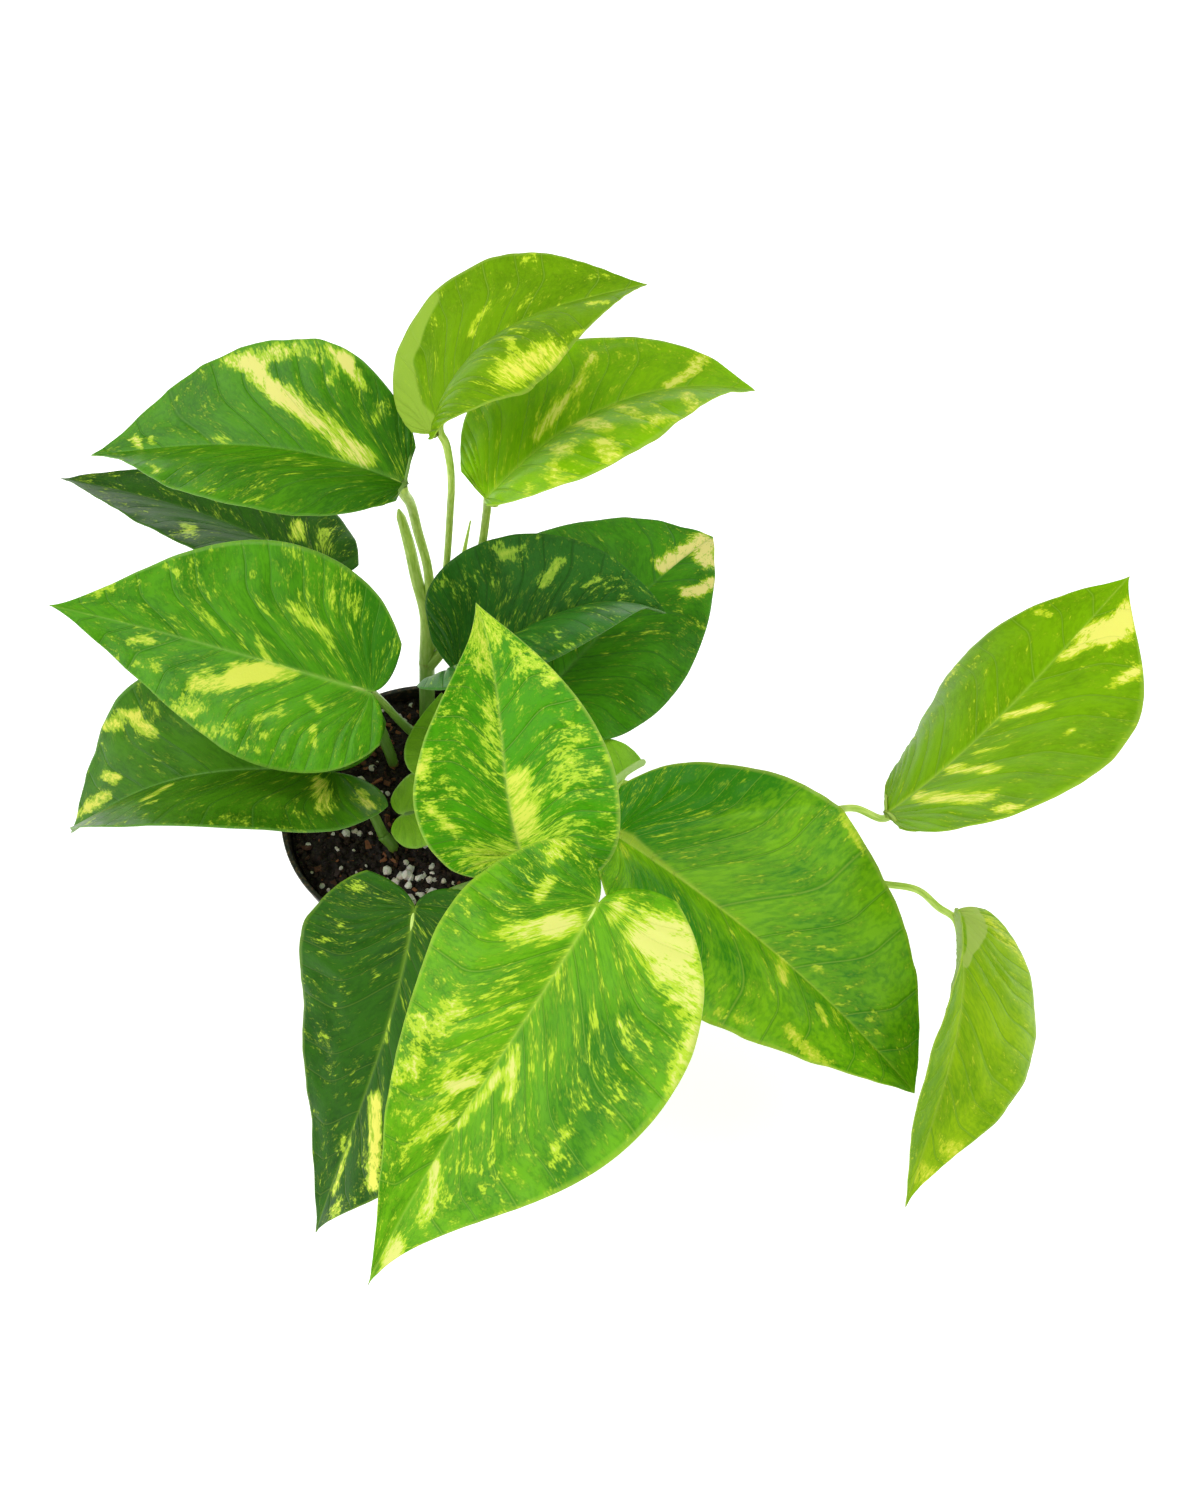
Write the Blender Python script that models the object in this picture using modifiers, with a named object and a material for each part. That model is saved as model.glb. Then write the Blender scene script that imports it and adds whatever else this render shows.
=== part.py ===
"""Golden pothos in a nursery pot.

Run with: blender --background --python part.py

The origin is the centre of the pot's underside, +Z is up, and the picture was taken from the -Y side.
Lengths in the tables are in millimetres and angles in degrees; the objects are built in metres.
"""
from dataclasses import dataclass
from math import cos, pi, radians, sin, sqrt

import bmesh
import bpy
import numpy as np
from mathutils import Vector
from mathutils.geometry import interpolate_bezier

MM = 0.001

# Pot: a thin-walled nursery pot that is 104 mm across its lip.
LIP_RADIUS = 52.0
POT_HEIGHT = 90.0
BASE_RADIUS = 37.0
WALL = 1.2
FLOOR = 2.0
LIP_DEPTH = 9.0
LIP_STEP = 2.0
DRAIN_HOLES = 6
DRAIN_RADIUS = 3.5
DRAIN_CIRCLE = 27.0
POT_STEPS = 48

# Soil: fills the pot to above the step under its lip.
SOIL_TOP = 83.6
SOIL_GAP = 0.5
SOIL_RINGS = 12
SOIL_STEPS = 44
SOIL_RELIEF = 1.6
HOLE_FLOOR = 66.0
HOLE_GAP = 0.35

# Stems and petioles. A petiole's foot and neck are that many times as wide as the rest of it.
STEM_RADIUS = 2.3
PETIOLE_RADIUS = 1.4
PETIOLE_FOOT = 1.6
PETIOLE_NECK = 1.2
SPIKE_RADIUS = 0.35
NODE_SWELL = 1.15
PETIOLE_GAP = 0.12
PETIOLE_INSET = 1.5
PETIOLE_RUN_IN = 5.0
LEAST_RISE = 0.5
TUBE_ROUNDING = 1

# Blades.
BLADE_THICKNESS = 0.75
MIDRIB_THICKNESS = 1.5
ROWS = 13
COLUMNS = 3
TIP_CROWDING = 1.75


@dataclass
class Leaf:
    """One heart-shaped blade, from the end of its petiole to its tip.

    roll and twist turn the blade about its midrib. Pairs are left and right as seen from the base looking to
    the tip with the top face up, except arch and sweep, which lift and shift the midrib at 1/3 and 2/3.
    """

    name: str
    base: tuple
    tip: tuple
    roll: float = 0.0
    twist: float = 0.0
    half: tuple = (40, 40)
    lobes: tuple = (15, 15)
    arch: tuple = (8, 6)
    sweep: tuple = (0, 0)
    fold: tuple = (15, 15)
    curl: tuple = (15, 15)
    shoulder: float = 0.55
    taper: float = 1.2
    waves: float = 0.0
    colour: tuple = (0.10, 0.33, 0.03)


LIGHT_GREEN = (0.27, 0.47, 0.03)
MID_GREEN = (0.08, 0.33, 0.02)
DARK_GREEN = (0.03, 0.16, 0.03)
FRESH_GREEN = (0.16, 0.42, 0.04)

LEAVES = (
    Leaf("blade_top", (17, 49, 232), (80, 90, 251), roll=-50, twist=30, half=(34, 40), lobes=(4, 7),
         arch=(22, 9), sweep=(-2, 3), fold=(30, 20), curl=(0, 75), shoulder=0.7, colour=LIGHT_GREEN),
    Leaf("blade_upper_right", (31, 45, 207), (116, 86, 212), roll=-30, twist=15, half=(40, 42), lobes=(4, 4),
         arch=(17, 16), sweep=(2, -8), fold=(25, 25), curl=(20, 40), taper=1.05, colour=LIGHT_GREEN),
    Leaf("blade_upper_left", (5, 52, 206), (-101, 73, 196), twist=10, half=(36, 34), lobes=(3, 3),
         arch=(20, 4), sweep=(0, 5), fold=(25, 35), curl=(20, -10), shoulder=0.7, taper=1.25,
         waves=1.0, colour=MID_GREEN),
    Leaf("blade_back_left", (-41, 84, 120), (-147, 126, 126), roll=25, twist=-5, half=(38, 38),
         lobes=(13, 13), arch=(12, 6), fold=(20, 10), curl=(10, 15), shoulder=0.6, colour=DARK_GREEN),
    Leaf("blade_left", (-11, 8, 154), (-127, 47, 149), roll=-40, half=(34, 44), lobes=(14, 14),
         arch=(5, -5), sweep=(2, 1), fold=(15, 20), curl=(5, 5), taper=1.3, waves=1.0, colour=MID_GREEN),
    Leaf("blade_lower_left", (-30, 0, 114), (-138, -1, 67), roll=-10, twist=15, half=(44, 45),
         lobes=(25, 23), arch=(33, 15), sweep=(3, 4), fold=(40, 35), curl=(-5, -5), taper=1.15,
         waves=1.0, colour=MID_GREEN),
    Leaf("blade_dark_centre", (18, 25, 138), (90, 55, 133), roll=-20, twist=25, half=(34, 47), lobes=(7, 7),
         arch=(21, 17), sweep=(9, -6), fold=(40, 55), curl=(-20, 50), shoulder=0.5, taper=1.15,
         colour=DARK_GREEN),
    Leaf("blade_back_right", (46, 30, 118), (112, 115, 103), roll=10, half=(47, 37), lobes=(17, 17),
         arch=(7, 12), sweep=(-1, -1), fold=(20, 15), curl=(15, 15), taper=1.1, waves=1.0, colour=DARK_GREEN),
    Leaf("blade_centre", (41, -47, 146), (28, 14, 195), roll=-20, twist=15, half=(29, 39), lobes=(11, 11),
         arch=(14, -4), sweep=(1, 4), fold=(20, 20), curl=(10, 0), shoulder=0.6, taper=1.25,
         waves=0.8, colour=FRESH_GREEN),
    Leaf("blade_front_big", (65, -77, 174), (-3, -169, 104), roll=5, twist=-5, half=(52, 38),
         lobes=(18, 18), arch=(7, 1), sweep=(-3, 5), fold=(15, 15), curl=(-5, 25), shoulder=0.6, taper=1.45,
         waves=1.2, colour=FRESH_GREEN),
    Leaf("blade_front_left", (6, -60, 129), (-32, -144, 46), roll=15, twist=20, half=(50, 44),
         lobes=(17, 14), arch=(3, 4), sweep=(-9, -3), fold=(10, 5), curl=(15, 5), taper=1.25,
         waves=1.2, colour=DARK_GREEN),
    Leaf("blade_right_big", (72, -34, 131), (166, -112, 105), roll=-25, twist=10, half=(56, 47),
         lobes=(13, 13), arch=(0, 6), sweep=(-8, -4), fold=(20, 25), curl=(5, 35), shoulder=0.7, taper=1.0,
         waves=1.0, colour=MID_GREEN),
    Leaf("blade_far_right", (162, -24, 128), (244, 45, 168), roll=-50, twist=40, half=(51, 55),
         lobes=(1, 1), arch=(0, -2), sweep=(13, 1), fold=(5, 10), curl=(50, 0), shoulder=0.68, taper=1.25,
         colour=LIGHT_GREEN),
    Leaf("blade_lower_right", (186, -53, 111), (161, -145, 96), roll=-50, twist=20, half=(40, 36),
         lobes=(8, 0), arch=(12, 5), sweep=(-5, 2), fold=(15, 20), curl=(20, -25), shoulder=0.6,
         taper=1.45, colour=LIGHT_GREEN),
    Leaf("blade_small_right", (68, -5, 107), (82, 4, 112), half=(19, 15), lobes=(4, 4),
         arch=(3, 3), fold=(25, 80), curl=(40, 10), shoulder=0.6, taper=0.7, colour=LIGHT_GREEN),
    Leaf("blade_young_low", (-5, -10, 100), (28, -9, 108), roll=10, half=(15, 14), lobes=(6, 6),
         arch=(3, 3), fold=(12, 12), curl=(20, 20), colour=LIGHT_GREEN),
    Leaf("blade_young_high", (8, 2, 112), (9, 28, 122), half=(12, 12), lobes=(5, 5),
         arch=(3, 3), fold=(12, 12), curl=(20, 20), colour=LIGHT_GREEN),
)


@dataclass
class Petiole:
    """The stalk of one blade: its route from a point on the stem to just before the blade, and its radius.

    rise is the least share of its last run that goes up to the blade. The one called spike carries no blade:
    it is a leaf sheath that dried to a point.
    """

    blade: str
    route: tuple
    radius: float = PETIOLE_RADIUS
    rise: float = LEAST_RISE


@dataclass
class Vine:
    """One grown stem with its petioles.

    stem lists the route above the soil; its first point is where the stem leaves the soil. thin_end lists the
    radii of its last points, where it thins to a growing tip.
    """

    name: str
    stem: tuple
    petioles: tuple
    radius: float = STEM_RADIUS
    thin_end: tuple = ()


VINES = (
    Vine("back_vine", ((-1, 37, 86), (0, 42, 98), (1, 51, 112), (2, 58, 126), (0, 63, 144), (-1, 66, 160),
                       (-2, 67, 172), (-2, 66, 177)), (
        Petiole("blade_upper_left", ((2, 55, 118), (4, 60, 132), (5, 62, 150), (4, 62, 170), (4, 58, 190)), 1.7),
        Petiole("blade_top", ((2, 52, 113), (6, 55, 120), (9, 58, 136), (13, 58, 160), (17, 57, 188),
                              (19, 54, 203), (20, 51, 218)), 1.2),
        Petiole("blade_upper_right", ((1, 48, 108), (8, 51, 116), (19, 60, 140), (25, 63, 162), (28, 62, 180),
                                      (30, 57, 194)), 1.45),
        Petiole("spike", ((1, 50, 110), (8, 60, 120), (14, 72, 134), (19, 84, 150)), 1.2),
    ), radius=2.6, thin_end=(2.5, 2.2, 2.0, 1.6, 0.5)),
    Vine("back_left_stem", ((-13, 20, 86), (-17, 28, 98)), (
        Petiole("blade_back_left", ((-17, 28, 98), (-25, 50, 106))),
    ), radius=2.0),
    Vine("left_stem", ((-1, 28, 86), (-1, 25, 96)), (
        Petiole("blade_left", ((-1, 25, 96), (-3, 20, 108), (-6, 17, 122), (-9, 14, 138)), 1.45),
    ), radius=2.0),
    Vine("lower_left_stem", ((-10, -16, 86), (-13, -14, 91)), (
        Petiole("blade_lower_left", ((-13, -14, 91), (-17, -8, 99))),
    ), radius=2.0),
    Vine("middle_vine", ((24, 24, 86), (24, 25, 104)), (
        Petiole("blade_dark_centre", ((24, 25, 104), (22, 28, 120))),
        Petiole("blade_back_right", ((24, 25, 97), (32, 25, 106))),
    )),
    Vine("front_left_stem", ((28, -27, 86), (27, -31, 94)), (
        Petiole("blade_front_left", ((27, -31, 94), (23, -39, 104), (16, -46, 113))),
    ), radius=2.0),
    Vine("centre_stem", ((27, -14, 86), (29, -20, 98)), (
        Petiole("blade_centre", ((29, -20, 98), (37, -38, 122))),
    ), radius=2.0),
    Vine("front_big_stem", ((35, -22, 86), (38, -28, 96)), (
        Petiole("blade_front_big", ((38, -28, 96), (52, -58, 130))),
    ), radius=2.2),
    Vine("right_big_stem", ((38, -8, 86), (41, -10, 96)), (
        Petiole("blade_right_big", ((41, -10, 96), (56, -20, 115))),
    ), radius=2.0),
    Vine("right_vine", ((32, 6, 86), (44, 7, 97), (64, 4, 102), (92, -6, 100), (118, -9, 101), (131, -15, 103)), (
        Petiole("blade_far_right", ((126, -13, 102), (139, -14, 106), (148, -15, 113), (154, -18, 120)), 1.25, 0.2),
        Petiole("blade_lower_right", ((117, -9, 101), (129, -22, 102), (140, -33, 103), (153, -37, 104),
                                      (164, -40, 106), (175, -44, 109)), 1.2),
        Petiole("blade_small_right", ((60, 5, 101), (60, 0, 105)), 1.2),
    ), radius=2.2),
    Vine("young_shoot", ((2, -8, 86), (2, -6, 90)), (
        Petiole("blade_young_low", ((2, -6, 90), (-2, -8, 95))),
        Petiole("blade_young_high", ((2, -6, 90), (3, 3, 101))),
    ), radius=1.4),
)


def clear_scene():
    """Remove every object of the scene that the script starts in."""
    for item in list(bpy.data.objects):
        bpy.data.objects.remove(item)


def material(name, colour, roughness, metallic=0.0):
    """Make a plain surface with one colour."""
    made = bpy.data.materials.new(name)
    made.use_nodes = True
    shader = made.node_tree.nodes["Principled BSDF"]
    shader.inputs["Base Color"].default_value = (*colour, 1.0)
    shader.inputs["Roughness"].default_value = roughness
    shader.inputs["Metallic"].default_value = metallic
    made.diffuse_color = (*colour, 1.0)
    return made


def add_object(name, data, surface=None):
    """Link a mesh or curve to the scene as an object with one material."""
    item = bpy.data.objects.new(name, data)
    bpy.context.collection.objects.link(item)
    if surface:
        data.materials.append(surface)
    return item


def freeze(item):
    """Replace an object by a mesh of what its modifiers or its curve give."""
    name = item.name
    evaluated = item.evaluated_get(bpy.context.evaluated_depsgraph_get())
    mesh = bpy.data.meshes.new_from_object(evaluated)
    bpy.data.objects.remove(item)
    frozen = bpy.data.objects.new(name, mesh)
    bpy.context.collection.objects.link(frozen)
    return frozen


def combine(target, tools, operation):
    """Cut the tool objects from the target, or join them to it, and keep one mesh."""
    for tool in tools:
        change = target.modifiers.new(operation.lower(), "BOOLEAN")
        change.operation = operation
        change.solver = "EXACT"
        change.object = tool
        target = freeze(target)
    for tool in tools:
        bpy.data.objects.remove(tool)
    return target


def turned(name, profile, steps):
    """Turn an (r, z) outline in millimetres, which starts and ends on the axis, about Z."""
    mesh = bpy.data.meshes.new(name)
    corners = [(r * MM, 0.0, z * MM) for r, z in profile]
    mesh.from_pydata(corners, [(k, k + 1) for k in range(len(corners) - 1)], [])
    item = add_object(name, mesh)
    screw = item.modifiers.new("turn", "SCREW")
    screw.steps = steps
    screw.render_steps = steps
    screw.use_merge_vertices = True
    screw.merge_threshold = 1e-5
    screw.use_normal_calculate = True
    return freeze(item)


def cylinder(radius, bottom, top, centre=(0.0, 0.0), sides=16):
    """Make an upright cylinder between two heights, in millimetres."""
    bpy.ops.mesh.primitive_cylinder_add(
        vertices=sides, radius=radius * MM, depth=(top - bottom) * MM,
        location=(centre[0] * MM, centre[1] * MM, (top + bottom) / 2 * MM))
    return bpy.context.object


def wall_radius(height):
    """Give the outer radius of the pot's wall under the lip."""
    return BASE_RADIUS + (LIP_RADIUS - LIP_STEP - BASE_RADIUS) * height / POT_HEIGHT


def build_pot():
    """Make the pot: tapered wall, stepped lip, flat floor and drainage holes."""
    lip_foot = POT_HEIGHT - LIP_DEPTH
    profile = (
        (0, 0), (BASE_RADIUS - 1.5, 0), (wall_radius(1.5), 1.5), (wall_radius(lip_foot - 1), lip_foot - 1),
        (LIP_RADIUS - 0.9, lip_foot), (LIP_RADIUS - 0.6, POT_HEIGHT - 1.2), (LIP_RADIUS, POT_HEIGHT - 0.7),
        (LIP_RADIUS, POT_HEIGHT), (LIP_RADIUS - 1.8, POT_HEIGHT), (LIP_RADIUS - 2.0, POT_HEIGHT - 1.5),
        (LIP_RADIUS - 2.2, lip_foot + 1), (wall_radius(lip_foot - 1) - WALL, lip_foot - 1),
        (wall_radius(FLOOR) - WALL, FLOOR), (0, FLOOR),
    )
    pot = turned("pot", profile, POT_STEPS)
    holes = []
    for k in range(DRAIN_HOLES):
        angle = 2 * pi * (k + 0.5) / DRAIN_HOLES
        centre = (DRAIN_CIRCLE * cos(angle), DRAIN_CIRCLE * sin(angle))
        holes.append(cylinder(DRAIN_RADIUS, -1, FLOOR + 1, centre, sides=14))
    pot = combine(pot, holes, "DIFFERENCE")
    pot.data.materials.clear()
    pot.data.materials.append(material("pot", (0.012, 0.012, 0.013), 0.45))
    return pot


def soil_height(x, y):
    """Give the soil's surface at a place: crumbs a few millimetres across in a shallow dish."""
    crumbs = sin(0.9 * x + 1.3 * sin(0.55 * y)) * sin(0.8 * y + 1.7 * sin(0.45 * x))
    lumps = sin(0.21 * x + 0.4) * cos(0.17 * y - 0.9)
    dish = 0.0004 * (x * x + y * y)
    return SOIL_TOP + SOIL_RELIEF * (0.55 * crumbs + 0.6 * lumps) + dish


def build_soil():
    """Make the soil: a plug that fits the pot and its step, with a crumbly top and a plain hole for each stem."""
    bottom = FLOOR + SOIL_GAP
    step = POT_HEIGHT - LIP_DEPTH - 1
    foot, waist = (wall_radius(height) - WALL - SOIL_GAP for height in (bottom, step))
    rim = LIP_RADIUS - 2.2 - SOIL_GAP
    top_rings = [(rim * k / SOIL_RINGS, SOIL_TOP) for k in range(SOIL_RINGS, -1, -1)]
    profile = [(0, bottom), (foot, bottom), (waist, step), (rim, step + 2.3), *top_rings]
    soil = turned("soil", profile, SOIL_STEPS)
    for vertex in soil.data.vertices:
        x, y = vertex.co.x / MM, vertex.co.y / MM
        if vertex.co.z > (SOIL_TOP - 0.5) * MM:
            vertex.co.z = soil_height(x, y) * MM
    holes = [cylinder(vine.radius + HOLE_GAP, HOLE_FLOOR, POT_HEIGHT + 5, vine.stem[0][:2]) for vine in VINES]
    soil = combine(soil, holes, "DIFFERENCE")
    soil.data.materials.clear()
    soil.data.materials.append(material("soil", (0.02, 0.012, 0.008), 0.95))
    return soil


class Midrib:
    """The curved line that a blade is built about, with the blade's own directions along it."""

    def __init__(self, leaf):
        base, tip = Vector(leaf.base), Vector(leaf.tip)
        self.chord = (tip - base).normalized()
        up = Vector((0, 0, 1))
        level = (up - self.chord * up.dot(self.chord)).normalized()
        turn = radians(leaf.roll)
        self.normal = level * cos(turn) + self.chord.cross(level) * sin(turn)
        self.side = self.chord.cross(self.normal)
        self.twist = radians(leaf.twist)
        controls = [base]
        for share, lift, shift in zip((0.33, 0.67), leaf.arch, leaf.sweep):
            controls.append(base + (tip - base) * share + self.normal * lift + self.side * shift)
        controls.append(tip)
        line = np.array(interpolate_bezier(*controls, 60))
        steps = np.linalg.norm(np.diff(line, axis=0), axis=1)
        self.line = line
        self.distance = np.concatenate(([0.0], np.cumsum(steps)))
        self.length = self.distance[-1]

    def point(self, x):
        """Give the place at a distance from the base; a negative one goes straight back."""
        inside = min(max(x, 0.0), self.length)
        place = Vector([np.interp(inside, self.distance, self.line[:, axis]) for axis in range(3)])
        return place + self.forward(x) * min(x, 0.0)

    def forward(self, x):
        """Give the direction to the tip at a distance."""
        k = int(np.clip(np.searchsorted(self.distance, x), 1, len(self.line) - 1))
        k = max(k, 2)
        return Vector(self.line[k] - self.line[k - 2]).normalized()

    def frame(self, x):
        """Give the upward and rightward directions of the blade at a distance."""
        turn = self.twist * min(max(x / self.length, 0.0), 1.0)
        normal = self.normal * cos(turn) + self.side * sin(turn)
        forward = self.forward(x)
        normal = (normal - forward * normal.dot(forward)).normalized()
        return normal, forward.cross(normal)


def bezier(t, *controls):
    """Give a point of a quadratic or cubic curve with the given control values."""
    values = list(controls)
    while len(values) > 1:
        values = [a + (b - a) * t for a, b in zip(values, values[1:])]
    return values[0]


def flat_blade(leaf, length, right, q, t):
    """Give a point of the blade laid flat: q goes from the base lobe to the tip, t from midrib to margin."""
    half, lobe = leaf.half[right], leaf.lobes[right]
    share = (0.14 + 0.86 * q) ** 1.7
    peak = leaf.shoulder / (leaf.shoulder + leaf.taper)
    widest = peak ** leaf.shoulder * (1 - peak) ** leaf.taper
    margin_y = half * share ** leaf.shoulder * (1 - share) ** leaf.taper / widest
    margin_x = -lobe + (length + lobe) * share
    if q <= 0.0:
        return bezier(t, 0, 0.45 * margin_x, margin_x, margin_x), bezier(t, 0, 0, 0.35 * margin_y, margin_y)
    start = length * q ** TIP_CROWDING
    bend_x = start + 0.30 * (margin_x - start) - 0.02 * length * (1 - q)
    return bezier(t, start, bend_x, margin_x), bezier(t, 0, 0.55 * margin_y, margin_y)


def blade_point(leaf, midrib, q, t):
    """Give a point of the blade in space; t runs from -1 at the left margin to 1 at the right one."""
    right = t > 0
    x, y = flat_blade(leaf, midrib.length, right, q, abs(t))
    half = leaf.half[right]
    fold = radians(leaf.fold[right])
    bend = radians(leaf.curl[right] or 0.1) / half
    across = (sin(fold) - sin(fold - bend * y)) / bend
    height = (cos(fold - bend * y) - cos(fold)) / bend
    height += leaf.waves * (y / half) ** 2 * sin(2 * pi * (2.5 * q + 0.3 * right))
    normal, side = midrib.frame(x)
    return midrib.point(x) + side * (across if right else -across) + normal * height


def build_blade(leaf):
    """Make one blade: a grid bent to the leaf's form and thickened downwards, most at the midrib."""
    midrib = Midrib(leaf)
    grid = bmesh.new()
    bmesh.ops.create_grid(grid, x_segments=2 * COLUMNS, y_segments=ROWS, size=1.0)
    mesh = bpy.data.meshes.new(leaf.name)
    weights = {}
    for vertex in grid.verts:
        t, q = vertex.co.x, (vertex.co.y + 1) / 2
        vertex.co = blade_point(leaf, midrib, q, t) * MM
        thickness = BLADE_THICKNESS
        if abs(t) < 0.01:
            thickness += (MIDRIB_THICKNESS - BLADE_THICKNESS) * (1 - q) ** 0.7
        weights[vertex.index] = thickness / MIDRIB_THICKNESS
    bmesh.ops.recalc_face_normals(grid, faces=grid.faces)
    grid.to_mesh(mesh)
    grid.free()
    blade = add_object(leaf.name, mesh, material(leaf.name, leaf.colour, 0.4))
    group = blade.vertex_groups.new(name="thickness")
    for index, weight in weights.items():
        group.add([index], weight, "REPLACE")
    weld = blade.modifiers.new("weld tip", "WELD")
    weld.merge_threshold = 0.00002
    split = blade.modifiers.new("triangles", "TRIANGULATE")
    split.quad_method = "FIXED"
    solid = blade.modifiers.new("thickness", "SOLIDIFY")
    solid.thickness = MIDRIB_THICKNESS * MM
    solid.offset = -1.0
    solid.vertex_group = "thickness"
    return blade


def tube(name, route, radii, straight=0):
    """Make a smooth tube through the points of a route, in millimetres, with a radius at each point.

    The first points, as many as straight says, have straight runs between them.
    """
    curve = bpy.data.curves.new(name, "CURVE")
    curve.dimensions = "3D"
    curve.resolution_u = 3
    curve.render_resolution_u = 0
    curve.bevel_depth = MM
    curve.bevel_resolution = TUBE_ROUNDING
    curve.use_fill_caps = True
    spline = curve.splines.new("BEZIER")
    spline.bezier_points.add(len(route) - 1)
    for k, knot in enumerate(spline.bezier_points):
        knot.co = Vector(route[k]) * MM
        knot.radius = radii[k]
        knot.handle_left_type = "VECTOR" if k < straight else "AUTO"
        knot.handle_right_type = "VECTOR" if k < straight else "AUTO"
    return freeze(add_object(name, curve))


def petiole_end(leaf, last, radius, least_rise):
    """Give the end of a petiole, whose last point before it and radius are given, and a place just before that.

    It comes in along its own run, but rises to the blade by least_rise or more of its length, and it ends so
    far under the midrib that the edge of its cut end clears the blade.
    """
    midrib = Midrib(leaf)
    normal, _ = midrib.frame(0.0)
    run = (midrib.point(0.0) - Vector(last)).normalized()
    rise = run.dot(normal)
    if rise < least_rise:
        level = (run - normal * rise).normalized()
        rise = least_rise
        run = level * sqrt(1 - rise**2) + normal * rise
    drop = MIDRIB_THICKNESS + PETIOLE_GAP + radius * sqrt(1 - rise**2)
    end = midrib.point(PETIOLE_INSET) - normal * drop
    return end - run * PETIOLE_RUN_IN, end


def build_vine(vine):
    """Make one stem with its petioles, and any spike, joined into it."""
    foot_x, foot_y, _ = vine.stem[0]
    route = [(foot_x, foot_y, HOLE_FLOOR + 0.3), *vine.stem]
    radii = [vine.radius, vine.radius, *[vine.radius * NODE_SWELL] * (len(route) - 2)]
    if vine.thin_end:
        radii = [*radii[:-len(vine.thin_end)], *vine.thin_end]
    stem = tube(vine.name, route, radii, straight=2)
    leaves = {leaf.name: leaf for leaf in LEAVES}
    branches = []
    for petiole in vine.petioles:
        thin = min(petiole.radius, 0.85 * vine.radius)
        route = [*petiole.route]
        radii = [min(0.96 * vine.radius, PETIOLE_FOOT * thin), PETIOLE_NECK * thin, *[thin] * (len(route) - 2)]
        if petiole.blade in leaves:
            route += petiole_end(leaves[petiole.blade], route[-1], thin, petiole.rise)
            radii += [thin, thin]
        else:
            radii[-1] = SPIKE_RADIUS
        branches.append(tube("petiole", route, radii))
    stem = combine(stem, branches, "UNION")
    stem.data.materials.clear()
    stem.data.materials.append(material(vine.name, (0.30, 0.42, 0.12), 0.5))
    return stem


def main():
    """Build every piece of the potted plant."""
    clear_scene()
    build_pot()
    build_soil()
    for vine in VINES:
        build_vine(vine)
    for leaf in LEAVES:
        build_blade(leaf)


main()
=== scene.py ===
"""A golden pothos in its nursery pot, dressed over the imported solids.

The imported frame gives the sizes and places. Here every blade, stem, the soil and the pot becomes a fine
surface worked out with numpy, with the finish of the living plant: glossy leaves with yellow marbling that
runs along their veins, pale petioles, dark potting mix with bark and perlite, and satin black plastic.

Lengths in the tables are in millimetres and angles in degrees, as a grower would measure them. Meshes are in
metres, +Z up, with the origin at the centre of the pot's underside.
"""
from __future__ import annotations

import logging
from dataclasses import dataclass, field
from enum import Enum
from functools import partial

import bmesh
import bpy
import numpy as np
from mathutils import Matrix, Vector

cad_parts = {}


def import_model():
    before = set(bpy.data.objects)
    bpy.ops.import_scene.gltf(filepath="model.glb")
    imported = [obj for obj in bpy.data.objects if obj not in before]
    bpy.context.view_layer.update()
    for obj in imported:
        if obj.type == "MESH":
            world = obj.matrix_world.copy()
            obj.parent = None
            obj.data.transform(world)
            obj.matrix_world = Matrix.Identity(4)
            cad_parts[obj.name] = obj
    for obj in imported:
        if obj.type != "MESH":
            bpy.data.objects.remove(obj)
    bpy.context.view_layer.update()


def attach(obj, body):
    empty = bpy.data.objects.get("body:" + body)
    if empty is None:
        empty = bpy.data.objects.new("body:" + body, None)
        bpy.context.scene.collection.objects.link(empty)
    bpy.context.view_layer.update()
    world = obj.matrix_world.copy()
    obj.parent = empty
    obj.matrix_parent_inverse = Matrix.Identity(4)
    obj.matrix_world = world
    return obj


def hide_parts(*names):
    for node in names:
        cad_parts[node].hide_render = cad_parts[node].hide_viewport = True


MM = 0.001
LOG = logging.getLogger("pothos")

Point = tuple[float, float, float]
Pair = tuple[float, float]
Array = np.ndarray

# The output that a link takes from a node of one of these kinds: the mixed colour, the attribute's number and
# the Object coordinates. From any other kind it takes the first.
MAIN_OUTPUT = {"ShaderNodeMix": 2, "ShaderNodeAttribute": 2, "ShaderNodeTexCoord": 3}
# The inputs of a Mix node that blends colours, and of a Map Range node.
SHARE, FIRST, SECOND = 0, 6, 7
LOW, HIGH, TO_LOW, TO_HIGH = 1, 2, 3, 4
# Settings that many nodes have in common.
COLOURS = {"data_type": "RGBA"}
SMOOTH = {"interpolation_type": "SMOOTHSTEP"}


class Slot(Enum):
    """The record's material slots, which name what each piece is finished as."""

    POT = "pot"
    SOIL = "soil"
    STEM = "stem"
    LIGHT_LEAF = "light_leaf"
    MID_LEAF = "mid_leaf"
    DARK_LEAF = "dark_leaf"
    FRESH_LEAF = "fresh_leaf"


class Side(Enum):
    """A half of a blade, as seen from its base looking to the tip with the glossy face up."""

    LEFT = -1
    RIGHT = 1


def linear(hex_colour: str, alpha: float = 1.0) -> tuple[float, float, float, float]:
    """Turn an sRGB hex colour into the linear colour that shaders take.

    Args:
        hex_colour: Six hex digits after a hash mark.
        alpha: The fourth value of the colour.

    Returns:
        Red, green, blue and alpha.
    """
    parts = [int(hex_colour[k : k + 2], 16) / 255 for k in (1, 3, 5)]
    red, green, blue = (c / 12.92 if c <= 0.04045 else ((c + 0.055) / 1.055) ** 2.4 for c in parts)
    return red, green, blue, alpha


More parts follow.
